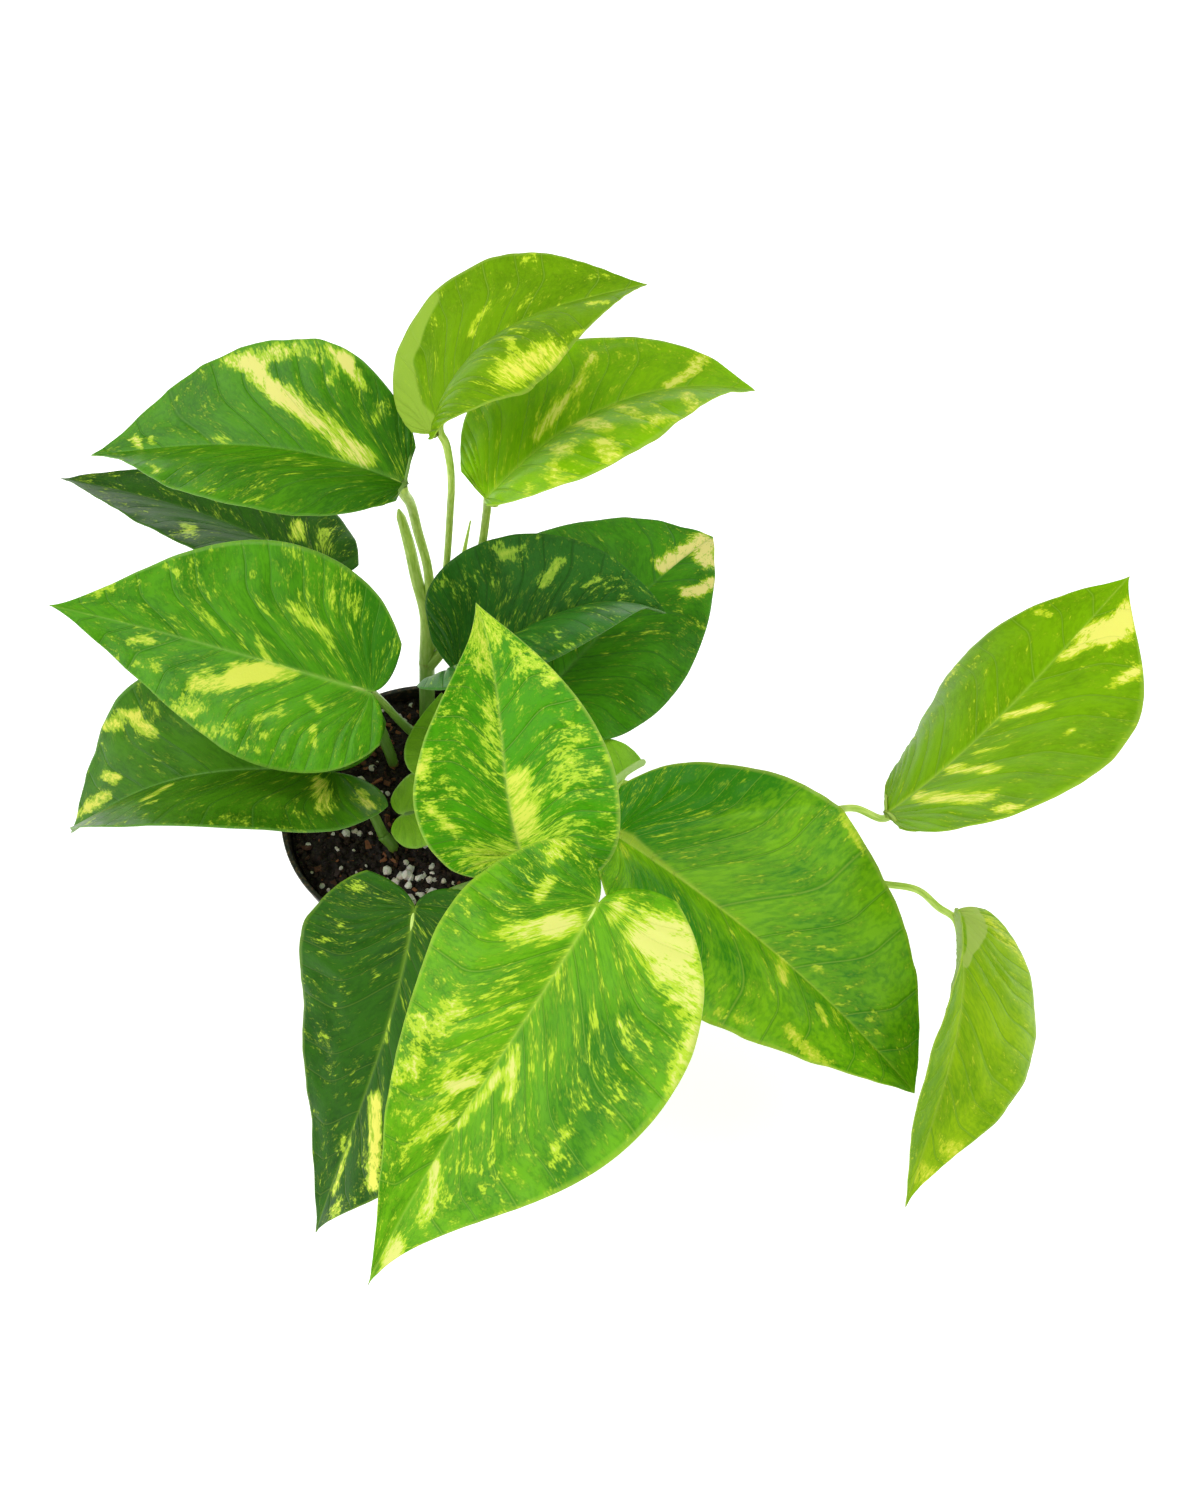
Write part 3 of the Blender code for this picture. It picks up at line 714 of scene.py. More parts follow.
        values = {
            "pale": both(self.level(Tissue.PALE, flat_q, flat_t), 0.3),
            "deep": both(self.level(Tissue.DEEP, flat_q, flat_t), 0.0),
            "dull": np.concatenate([dull, np.full(count, UNDERSIDE), [0.0, UNDERSIDE]]),
            "rib": both(rib, 0.3),
            "margin": both(margin, 0.4),
            "vein": both(self.vein_number(flat_v), float(self.veins)),
        }
        return Shell(vertices, [face, face[:, ::-1] + count, wall, end, end_under], uv, values)

    def build(self) -> bpy.types.Object:
        """Make the blade and dress it in its own marbling.

        Returns:
            The piece, which stands for the blade's solid.
        """
        piece = self.shell().to_object(self.name.replace("blade", "leaf"), self.tone.material(self.seed))
        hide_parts(self.name)
        return piece


class StemPart(Enum):
    """The two kinds of stalk: the vine itself, and the petiole that carries a blade."""

    VINE = "vine"
    PETIOLE = "petiole"


@dataclass(frozen=True)
class GreenStem:
    """A living green stem, smooth and a little waxy, with fine ribs and corky brown rings at its nodes.

    The eye sees pale yellow-green, streaked lengthwise, that turns brown where the stem leaves the soil. Low
    down and near the pot's axis, where the leaves shade it, a deeper green is painted on as shade.
    """

    pale: str = "#cce474"
    streak: str = "#a8cc48"
    # The green that is painted on as shade where the leaves shade the stem.
    shaded: str = "#487a1c"
    cork: str = "#7a5a34"
    roughness: float = 0.42
    streak_run: float = 0.09

    def material(self) -> bpy.types.Material:
        """Make the stem's finish, from each place's run along the stem and its turn round it.

        Streaks are noise over the turn and a squeezed run, so that each is some 4 mm long and 0.8 mm wide.
        Cork has a ragged edge of crumbs 1 mm across.

        Returns:
            The material.
        """
        made, tree, shader = new_material("living green stem")
        add = partial(add_node, tree)
        turn_x, turn_y, run, cork, shade = (
            add("Attribute", {"attribute_name": key}) for key in ("turn_x", "turn_y", "run", "cork", "shade"))
        length = add("Math", {"operation": "MULTIPLY", 0: run, 1: self.streak_run})
        spot = add("CombineXYZ", {0: turn_x, 1: turn_y, 2: length})
        streaks = add("TexNoise", {"Scale": 2.6, "Detail": 4.0, "Vector": spot})
        share = add("MapRange", {0: streaks, LOW: 0.40, HIGH: 0.66})
        crumbs = add("TexNoise", {"Scale": 900.0, "Detail": 3.0, "Vector": add("TexCoord")})
        ragged = add("Math", {"operation": "MULTIPLY_ADD", 0: crumbs, 1: 0.9, 2: -0.45})
        corked = add("Math", {"operation": "ADD", 0: cork, 1: ragged})
        corky = add("MapRange", {0: corked, LOW: 0.25, HIGH: 0.75, TO_HIGH: 0.9})
        colour = linear(self.pale)
        # The shaded green goes on as painted shade, by the shade value along the stem.
        for level, paint in ((share, self.streak), (shade, self.shaded), (corky, self.cork)):
            colour = add("Mix", {**COLOURS, SHARE: level, FIRST: colour, SECOND: linear(paint)})
        dull = add("MapRange", {0: corky, TO_LOW: self.roughness, TO_HIGH: 0.8})
        bump = add("Bump", {"Strength": 0.35, "Distance": 0.2 * MM, "Height": streaks})
        fill(shader, {"Base Color": colour, "Roughness": dull, "Normal": bump, "IOR": 1.42,
                      "Subsurface Weight": 0.15, "Subsurface Radius": (0.8, 1.0, 0.3),
                      "Subsurface Scale": 1.5 * MM})
        return made


def tube_faces(rows: int, columns: int, inward: bool = False) -> list[Array]:
    """Give the faces of a tube of rings that are numbered ring by ring, with a fan over each end.

    The vertex after those of the rings closes the first ring, and the next one closes the last.

    Args:
        rows: How many rings there are.
        columns: How many vertices each has.
        inward: Whether the faces turn the other way.

    Returns:
        The quads, the first fan and the last.
    """
    number = np.arange(rows * columns).reshape(rows, columns)
    after = np.roll(number, -1, axis=1)
    quads = np.stack([number[:-1], after[:-1], after[1:], number[1:]], -1).reshape(-1, 4)
    first = np.stack([after[0], number[0], np.full(columns, number.size)], -1)
    last = np.stack([number[-1], after[-1], np.full(columns, number.size + 1)], -1)
    if inward:
        quads, first, last = quads[:, [0, 3, 2, 1]], first[:, [1, 0, 2]], last[:, [1, 0, 2]]
    return [quads, first, last]


def smooth_route(points: Array, spacing: float, straight: int = 0) -> tuple[Array, Array]:
    """Run a smooth line through points: a cubic between each pair, whose headings come from the neighbours.

    Args:
        points: Points in millimetres, one row each.
        spacing: The distance between places on the line.
        straight: How many of the first stretches are straight.

    Returns:
        Places on the line, and for each its share of the way through the points, counted in points.
    """
    gaps = np.linalg.norm(np.diff(points, axis=0), axis=1)
    knots = np.concatenate(([0.0], np.cumsum(gaps)))
    heading = np.gradient(points, knots, axis=0)
    if straight:
        heading[: straight + 1] = (points[1] - points[0]) / gaps[0]
    s = np.linspace(0, knots[-1], max(8, int(knots[-1] / spacing)))
    k = np.clip(np.searchsorted(knots, s, side="right") - 1, 0, len(gaps) - 1)
    u, gap = ((s - knots[k]) / gaps[k])[:, None], gaps[k][:, None]
    line = ((2 * u**3 - 3 * u**2 + 1) * points[k] + (u**3 - 2 * u**2 + u) * gap * heading[k]
            + (3 * u**2 - 2 * u**3) * points[k + 1] + (u**3 - u**2) * gap * heading[k + 1])
    return line, k + u[:, 0]


# A stem is corky brown up to the soil's level and for this far over it.
SOIL_LEVEL, CORK_FADE = 83.0, 4.0
# Painted shade on the stems, where the leaves shade them: its level at the pot's lip, how fast it fades
# upwards, the distance from the pot's axis where it starts to fade outwards and how fast, and the most that
# it may be.
SHADE_AT_LIP, LIP_LEVEL, SHADE_RISE, SHADE_EDGE, SHADE_SPREAD, DEEPEST = 1.2, 90.0, 90.0, 40.0, 25.0, 0.85
# A petiole's groove and the wings beside it, in radians round the stalk from its upper side.
GROOVE_TURN, WING_TURN, WING_SPREAD = 0.36, 0.62, 0.24
# A vine's ribs and its ring scars: how many and how deep as a share of its radius, and how wide in
# millimetres, how proud as a share and how corky.
RIBS, RIB_DEPTH = 7, 0.025
SCAR_WIDTH, SCAR_SWELL, SCAR_CORK = 0.7, 0.1, 0.5


@dataclass
class Stalk:
    """A round stalk swept along a smooth line, grooved along its upper side if it is a petiole.

    Attributes:
        part: Vine or petiole.
        route: Points that its middle passes through.
        radii: Its radius at each point.
        rings: Places along it, counted in points, of the ring scars at nodes.
        sides: Sides of its section.
        step: The distance between sections.
        groove: The depth of a petiole's groove, as a share of its radius.
        wing: The height of its wings at the vine.
    """

    part: StemPart
    route: list[Point]
    radii: list[float]
    rings: tuple[float, ...] = ()
    sides: int = 24
    step: float = 0.9
    groove: float = 0.16
    wing: float = 0.14

    def shell(self) -> Shell:
        """Make the closed stalk.

        At each place the section is a circle in the plane across the line. A petiole's circle dips along its
        upper side, with a low wing on either side of the groove that fades away from the vine. A vine has
        faint ribs, and swells at each ring scar.

        Returns:
            The stalk, with the values that its finish reads.
        """
        points = np.array(self.route, float)
        line, at = smooth_route(points, self.step, 1 if self.part is StemPart.VINE else 0)
        heading = np.gradient(line, axis=0)
        heading /= np.linalg.norm(heading, axis=1, keepdims=True)
        level = np.cross(points[-1] - points[0], (0.0, 0.0, 1.0))
        level /= np.linalg.norm(level)
        upper = np.cross(level, heading)
        upper /= np.linalg.norm(upper, axis=1, keepdims=True)
        across = np.cross(heading, upper)
        radius = np.interp(at, np.arange(len(self.radii)), self.radii)
        run = np.concatenate(([0.0], np.cumsum(np.linalg.norm(np.diff(line, axis=0), axis=1))))
        share = run / run[-1]
        turn = np.linspace(0, 2 * np.pi, self.sides, endpoint=False)
        cork = np.clip(1 - (line[:, 2] - SOIL_LEVEL) / CORK_FADE, 0, 1)
        # Painted shade: deepest low down near the pot's axis, fading upwards and outwards.
        beyond = np.maximum(np.hypot(line[:, 0], line[:, 1]) - SHADE_EDGE, 0) / SHADE_SPREAD
        shade = np.clip(SHADE_AT_LIP - (line[:, 2] - LIP_LEVEL) / SHADE_RISE - beyond, 0, DEEPEST)
        if self.part is StemPart.PETIOLE:
            from_top = np.minimum(turn, 2 * np.pi - turn)
            wings = np.exp(-(((from_top - WING_TURN) / WING_SPREAD) ** 2))
            dip = self.groove * np.exp(-((from_top / GROOVE_TURN) ** 2))
            shape = 1 + (self.wing * (1 - share) ** 3 + 0.05)[:, None] * wings
            shape = shape - dip * np.sin(np.pi * share**0.5)[:, None]
        else:
            shape = 1 + RIB_DEPTH * np.cos(RIBS * turn) + 0 * share[:, None]
            for ring in self.rings:
                close = np.exp(-(((run - np.interp(ring, at, run)) / SCAR_WIDTH) ** 2))
                radius = radius * (1 + SCAR_SWELL * close)
                cork = np.maximum(cork, SCAR_CORK * close)
        spoke = upper[:, None] * np.cos(turn)[:, None] + across[:, None] * np.sin(turn)[:, None]
        places = line[:, None] + (radius[:, None] * shape)[..., None] * spoke
        tip = line[-1] + heading[-1] * radius[-1] * 0.6
        vertices = np.concatenate([places.reshape(-1, 3), [line[0]], [tip]])

        def spread(numbers: Array) -> Array:
            """Give one number for each vertex from one number for each place along."""
            return np.concatenate([np.repeat(numbers, self.sides), [numbers[0], numbers[-1]]])

        values = {key: spread(numbers) for key, numbers in (("run", run), ("cork", cork), ("shade", shade))}
        for key, numbers in (("turn_x", np.cos(turn)), ("turn_y", np.sin(turn))):
            values[key] = np.concatenate([np.tile(numbers, len(line)), [0.0, 0.0]])
        return Shell(vertices, tube_faces(len(line), self.sides), None, values)


@dataclass(frozen=True)
class Petiole:
    """The stalk of one blade: its route from a point on the stem to just before the blade, and its radius.

    rise is the least share of its last run that goes up to the blade. The one called spike carries no blade:
    it is a leaf sheath that dried to a point.
    """

    blade: str
    route: tuple[Point, ...]
    radius: float = 1.4
    rise: float = 0.5


# A petiole's radius, in shares of its own: at the vine, at its second point, and before the blade. It is at
# most the first of these shares of the vine's, and at the vine the second.
SHEATH_WIDTH, NECK_WIDTH, KNEE_WIDTH = 1.6, 1.2, 1.04
PETIOLE_LIMIT, SHEATH_LIMIT = 0.85, 0.96
# The radius where a petiole ends on the midrib, where a dried sheath ends, and along a root stub.
SUNK_END, SPIKE_END = 0.4, 0.3
ROOT_RADII = (0.8, 0.65, 0.25)
# How far along the midrib a petiole's base is met, and how far its end reaches.
BASE_REACH, END_REACH = 0.6, 10.0


@dataclass
class Vine:
    """A stem that grows out of the soil, the petioles that leave it and what each carries.

    Attributes:
        name: The stem's name in the frame.
        stem: Points on the stem, from the soil up.
        radius: Its radius.
        petioles: The petioles that leave it.
        thin_end: The radii of its last points, where it thins to a growing tip.
        nodes: Places of its ring scars, counted in points of the stem.
        roots: Aerial root stubs, each by its foot and its tip.
        swell: How much thicker it is above its first point.
        foot_depth: The height of its foot in the soil.
        run_in: How far before a blade's base the last bend of its petiole is.
    """

    name: str
    stem: tuple[Point, ...]
    radius: float
    petioles: tuple[Petiole, ...]
    thin_end: tuple[float, ...] = ()
    nodes: tuple[float, ...] = ()
    roots: tuple[tuple[Point, Point], ...] = ()
    swell: float = 1.12
    foot_depth: float = 66.3
    run_in: float = 5.0

    def arrival(self, petiole: Petiole, blade: Blade, thin: float) -> list[Array]:
        """Give a petiole's last points: one before the blade's base, one under it, and one on the midrib.

        It comes in along its own run but rises to the blade by at least its rise of its length, and its
        last stretch sinks into the ridge under the midrib, which seems to grow out of it.

        Args:
            petiole: The petiole.
            blade: The blade that it carries.
            thin: Its radius.

        Returns:
            The three points.
        """
        place, _, up, _ = (part[0] for part in blade.midrib(np.array([BASE_REACH])))
        run = place - np.array(petiole.route[-1])
        run /= np.linalg.norm(run)
        rise = run @ up
        if rise < petiole.rise:
            level = run - up * rise
            run = level / np.linalg.norm(level) * np.sqrt(1 - petiole.rise**2) + up * petiole.rise
        end = place - up * (1.1 * thin + blade.groove + 0.05)
        along, _, above, _ = (part[0] for part in blade.midrib(np.array([END_REACH])))
        return [end - run * self.run_in, end, along - above * (0.3 + blade.groove + 0.5 * blade.ridge)]

    def build(self, blades: dict[str, Blade], material: bpy.types.Material) -> bpy.types.Object:
        """Make the stem, its petioles and root stubs as one piece.

        Args:
            blades: The blades by name.
            material: The stem's finish.

        Returns:
            The piece, which stands for the stem's solid.
        """
        foot = (self.stem[0][0], self.stem[0][1], self.foot_depth)
        route = [foot, *self.stem]
        radii = [self.radius, self.radius] + [self.radius * self.swell] * (len(route) - 2)
        radii = [*radii[: len(radii) - len(self.thin_end)], *self.thin_end]
        shells = [Stalk(StemPart.VINE, route, radii, tuple(node + 1 for node in self.nodes)).shell()]
        for petiole in self.petioles:
            thin = min(petiole.radius, PETIOLE_LIMIT * self.radius)
            points = [*petiole.route]
            sheath = min(SHEATH_LIMIT * self.radius, SHEATH_WIDTH * thin)
            widths = [sheath, NECK_WIDTH * thin] + [thin] * (len(points) - 2)
            if petiole.blade in blades:
                points += self.arrival(petiole, blades[petiole.blade], thin)
                widths += [KNEE_WIDTH * thin, thin, SUNK_END]
            else:
                widths[-1] = SPIKE_END
            shells.append(Stalk(StemPart.PETIOLE, points, widths).shell())
        for start, end in self.roots:
            middle = tuple((np.array(start) + np.array(end)) / 2)
            shells.append(Stalk(StemPart.VINE, [start, middle, end], list(ROOT_RADII)).shell())
        piece = Shell.joined(shells).to_object(f"grown_{self.name}", material)
        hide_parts(self.name)
        return piece


@dataclass(frozen=True)
class BlackPlastic:
    """Thin black polypropylene, blow moulded: satin, scuffed and dusted with dry soil.

    The eye sees near black with soft wide highlights, faint draw lines down the wall, and brown dust that is
    thickest round the lip.
    """

    colour: str = "#1d1c1b"
    scuff: str = "#34322f"
    dust: str = "#6b5138"
    roughness: float = 0.40

    def material(self) -> bpy.types.Material:
        """Make the pot's finish, on places measured in the object.

        Draw lines are 2.4 mm apart round the wall and 70 mm long, scuffs 11 mm across, and grit 1.2 mm.

        Returns:
            The material.
        """
        made, tree, shader = new_material("blow moulded black polypropylene")
        add = partial(add_node, tree)
        place = add("TexCoord")
        drawn = add("Mapping", {0: place, "Scale": (420.0, 420.0, 14.0)})
        lines = add("TexNoise", {"Scale": 1.0, "Detail": 3.0, "Vector": drawn})
        blotch = add("TexNoise", {"Scale": 90.0, "Detail": 5.0, "Roughness": 0.6, "Vector": place})
        grit = add("TexNoise", {"Scale": 800.0, "Detail": 3.0, "Vector": place})
        scuffed = add("MapRange", {0: blotch, LOW: 0.55, HIGH: 0.75})
        height = add("SeparateXYZ", {0: place}).outputs[2]
        near_lip = add("MapRange", {0: height, LOW: 0.070, HIGH: 0.090, TO_LOW: 0.0, TO_HIGH: 0.10})
        dusty = add("Math", {"operation": "ADD", 0: grit, 1: near_lip})
        dust = add("MapRange", {0: dusty, LOW: 0.60, HIGH: 0.78, TO_HIGH: 0.7})
        colour = linear(self.colour)
        for share, paint in ((scuffed, self.scuff), (dust, self.dust)):
            colour = add("Mix", {**COLOURS, SHARE: share, FIRST: colour, SECOND: linear(paint)})
        rough = add("MapRange", {0: blotch, LOW: 0.3, HIGH: 0.8, TO_LOW: self.roughness - 0.06,
                                 TO_HIGH: self.roughness + 0.22})
        bump = add("Bump", {"Strength": 0.2, "Distance": 0.2 * MM, "Height": lines})
        fill(shader, {"Base Color": colour, "Roughness": rough, "Normal": bump, "IOR": 1.49})
        return made


def rounded(corners: list[Pair], radius: float, steps: int = 5) -> Array:
    """Round the corners of a profile: each becomes a short quadratic curve between points on its sides.

    Args:
        corners: Points of the profile in order.
        radius: How far from each corner its curve starts, or 0.45 of a shorter side.
        steps: Points in each curve.

    Returns:
        The rounded profile, with its first and last points kept.
    """
    points = np.array(corners, float)
    middle, before, after = points[1:-1], points[:-2], points[2:]
    back, on = before - middle, after - middle
    back_length, on_length = np.linalg.norm(back, axis=1), np.linalg.norm(on, axis=1)
    start = middle + back * (np.minimum(radius, 0.45 * back_length) / back_length)[:, None]
    end = middle + on * (np.minimum(radius, 0.45 * on_length) / on_length)[:, None]
    u = np.linspace(0, 1, steps)[None, :, None]
    curves = (1 - u) ** 2 * start[:, None] + 2 * u * (1 - u) * middle[:, None] + u**2 * end[:, None]
    return np.concatenate([points[:1], curves.reshape(-1, 2), points[-1:]])


def turned(profile: Array, steps: int) -> Shell:
    """Turn a profile round the upright axis into a closed solid, from the axis at its foot back to the axis.

    Args:
        profile: Radius and height at each point; the first and last are on the axis.
        steps: Steps round the axis.

    Returns:
        The solid.
    """
    turn = np.linspace(0, 2 * np.pi, steps, endpoint=False)
    radius = np.repeat(profile[1:-1, :1], steps, axis=1)
    height = np.repeat(profile[1:-1, 1:], steps, axis=1)
    places = np.stack([radius * np.cos(turn), radius * np.sin(turn), height], -1)
    poles = [(0.0, 0.0, profile[0, 1]), (0.0, 0.0, profile[-1, 1])]
    return Shell(np.concatenate([places.reshape(-1, 3), poles]), tube_faces(len(radius), steps))


@dataclass
class NurseryPot:
    """The thin black pot with a stiff lip and drainage holes in its floor.

    Attributes:
        lip_radius: The lip's outer radius.
        lip_depth: How far down the lip reaches.
        height: The pot's height.
        base_radius: The wall's outer radius at its foot.
        flare: How much wider the wall would be at the top.
        wall: The wall's thickness.
        floor: The floor's thickness.
        rounding: How far from a corner its rounding starts.
        drain_holes: How many drainage holes there are.
        drain_radius: The radius of each.
        drain_circle: The radius of the circle that they stand on.
        steps: Steps round the pot, and round each hole.
        plastic: Its finish.
    """

    lip_radius: float = 52.0
    lip_depth: float = 10.0
    height: float = 90.0
    base_radius: float = 37.0
    flare: float = 13.0
    wall: float = 1.2
    floor: float = 2.0
    rounding: float = 0.45
    drain_holes: int = 6
    drain_radius: float = 3.5
    drain_circle: float = 27.0
    steps: tuple[int, int] = (160, 40)
    plastic: BlackPlastic = field(default_factory=BlackPlastic)

    def wall_radius(self, height: float) -> float:
        """Give the wall's outer radius at a height."""
        return self.base_radius + self.flare * height / self.height

    def profile(self) -> Array:
        """Give the section: up the outside, over the rolled lip and down the inside.

        Returns:
            Radius and height at each point.
        """
        wall, outer, lip, top, floor = self.wall, self.wall_radius, self.lip_radius, self.height, self.floor
        band = top - self.lip_depth
        outside = [(0, 0), (self.base_radius - 1.5, 0), (outer(1.5), 1.5), (outer(band - 0.4), band - 0.4)]
        lip_outside = [(lip - 1.4, band + 0.6), (lip - 0.9, band + 1.4), (lip - 0.6, top - 1.8),
                       (lip, top - 1.1)]
        lip_inside = [(lip, top), (lip - 1.7, top), (lip - 2, top - 1.5), (lip - 2.2, band + 2)]
        inside = [(outer(band) - wall, band), (outer(floor) - wall, floor), (0, floor)]
        return rounded([*outside, *lip_outside, *lip_inside, *inside], self.rounding)

    def drills(self) -> Shell:
        """Make the round cutters for the drainage holes, from under the floor to 3 mm over it.

        Returns:
            The cutters as one shell.
        """
        under, over = -3, self.floor + 3
        corners = [(0, under), (self.drain_radius, under), (self.drain_radius, over), (0, over)]
        drill = turned(np.array(corners, float), self.steps[1])
        turn = np.arange(self.drain_holes) * 2 * np.pi / self.drain_holes
        places = self.drain_circle * np.stack([np.cos(turn), np.sin(turn), 0 * turn], -1)
        return Shell.joined([Shell(drill.vertices + place, drill.faces) for place in places])

    def build(self) -> bpy.types.Object:
        """Turn the pot, bore its drainage holes, weld the points that boring doubles, and dress it.

        Returns:
            The piece, which stands for the pot's solid.
        """
        pot = turned(self.profile(), self.steps[0]).to_object("nursery_pot", self.plastic.material())
        cutter = self.drills().to_object("drills", pot.data.materials[0], False)
        cut = pot.modifiers.new("holes", "BOOLEAN")
        cut.object, cut.solver = cutter, "EXACT"
        bored = bpy.data.meshes.new_from_object(pot.evaluated_get(bpy.context.evaluated_depsgraph_get()))
        pot.modifiers.clear()
        welded = bmesh.new()
        welded.from_mesh(bored)
        bmesh.ops.remove_doubles(welded, verts=welded.verts, dist=0.001 * MM)
        welded.to_mesh(bored)
        welded.free()
        pot.data = bored
        bpy.data.objects.remove(cutter)
        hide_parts("pot")
        return pot


@dataclass(frozen=True)
class PeatAndBark:
    """Moist potting mix: composted peat, shredded bark and white perlite.

    The eye sees a near black crumb, orange-brown fibres and chips, and bright grains of perlite.
    """

    peat: str = "#120b08"
    crumb: str = "#2a1a12"
    fibre: str = "#6a4028"
    grains: tuple[tuple[float, str], ...] = (
        (0.0, "#140d09"), (0.15, "#2a1a12"), (0.35, "#543220"), (0.55, "#8a5434"), (0.72, "#a9784a"),
        (0.80, "#d2c8b8"), (1.0, "#f2ece2"))

    def material(self) -> bpy.types.Material:
        """Make the finish of the mix and its grains.

        The grain attribute runs from peat at 0 to perlite at 1. Crumbs are 2 mm across, and fibres about 3 by
        0.7 mm, all lying the same way.

        Returns:
            The material.
        """
        made, tree, shader = new_material("peat bark and perlite")
        add = partial(add_node, tree)
        place = add("TexCoord")
        grain = add("Attribute", {"attribute_name": "grain"})
        crumb = add("TexNoise", {"Scale": 520.0, "Detail": 5.0, "Roughness": 0.65, "Vector": place})
        stretched = add("Mapping", {0: place, "Scale": (300.0, 1500.0, 900.0)})
        fibres = add("TexNoise", {"Scale": 1.0, "Detail": 4.0, "Vector": stretched})
        crumbly = add("MapRange", {0: crumb, LOW: 0.42, HIGH: 0.72})
        fibrous = add("MapRange", {0: fibres, LOW: 0.64, HIGH: 0.74})
        ground = linear(self.peat)
        for share, paint in ((crumbly, self.crumb), (fibrous, self.fibre)):
            ground = add("Mix", {**COLOURS, SHARE: share, FIRST: ground, SECOND: linear(paint)})
        ramp = add("ValToRGB", {0: grain})
        while len(ramp.color_ramp.elements) < len(self.grains):
            ramp.color_ramp.elements.new(0.5)
        for element, (position, colour) in zip(ramp.color_ramp.elements, self.grains):
            element.position, element.color = position, linear(colour)
        soiled = add("Mix", {**COLOURS, "blend_type": "MULTIPLY", SHARE: 0.5, FIRST: ramp,
                             SECOND: crumb.outputs[1]})
        is_grain = add("Math", {"operation": "GREATER_THAN", 0: grain, 1: 0.02})
        colour = add("Mix", {**COLOURS, SHARE: is_grain, FIRST: ground, SECOND: soiled})
        damp = add("MapRange", {0: fibres, LOW: 0.3, HIGH: 0.7, TO_LOW: 0.62, TO_HIGH: 0.92})
        bump = add("Bump", {"Strength": 0.6, "Distance": 0.8 * MM, "Height": crumb})
        fill(shader, {"Base Color": colour, "Roughness": damp, "Normal": bump, "IOR": 1.4})
        return made


@dataclass(frozen=True)
class GrainKind:
    """A kind of loose grain strewn on the soil.

    Attributes:
        count: How many.
        size: Half its smallest and largest length, in millimetres.
        flatness: Its width and thickness as shares of its length.
        tint: The lowest and highest value of the grain attribute.
        roundness: 1 for a pebble, 0 for a block.
        heap: The middle of a heap and how far it spreads, or nothing where they lie all over.
    """

    count: int
    size: Pair
    flatness: Pair
    tint: Pair
    roundness: float
    heap: Point | None = None


def turning(axis: int, angles: Array) -> Array:
    """Give the matrices that turn by each of some angles about one axis.

    Args:
        axis: 0, 1 or 2 for x, y or z.
        angles: The angles, in radians.

    Returns:
        A matrix for each angle.
    """
    one, other = (axis + 1) % 3, (axis + 2) % 3
    matrices = np.zeros((len(angles), 3, 3))
    matrices[:, axis, axis] = 1
    matrices[:, one, one] = matrices[:, other, other] = np.cos(angles)
    matrices[:, one, other], matrices[:, other, one] = -np.sin(angles), np.sin(angles)
    return matrices


# The soil's surface, as the part has it: the shares of crumbs and lumps in its relief, and how it dishes.
CRUMB_SHARE, LUMP_SHARE, DISH = 0.55, 0.6, 0.0004
# Where the soil meets the pot: how wide the strip is that is pressed down, and how far.
EDGE_WIDTH, EDGE_DROP = 0.2, 0.8
# How grains vary: the dimples in their faces, the share of a whole block that a blocky one has, how few are
# long, how their width and thickness vary, how much they nod and roll, and how far out of the soil they lie.
DIMPLES, BLOCK_SHARE, LENGTH_POWER, GIRTH = (0.72, 1.12), 0.72, 2.2, (0.75, 1.25)
NOD, ROLL, STANDING = 0.35, 0.4, (0.1, 0.9)
# The first grains' seed; each other kind has the next one.
GRAIN_SEED = 40


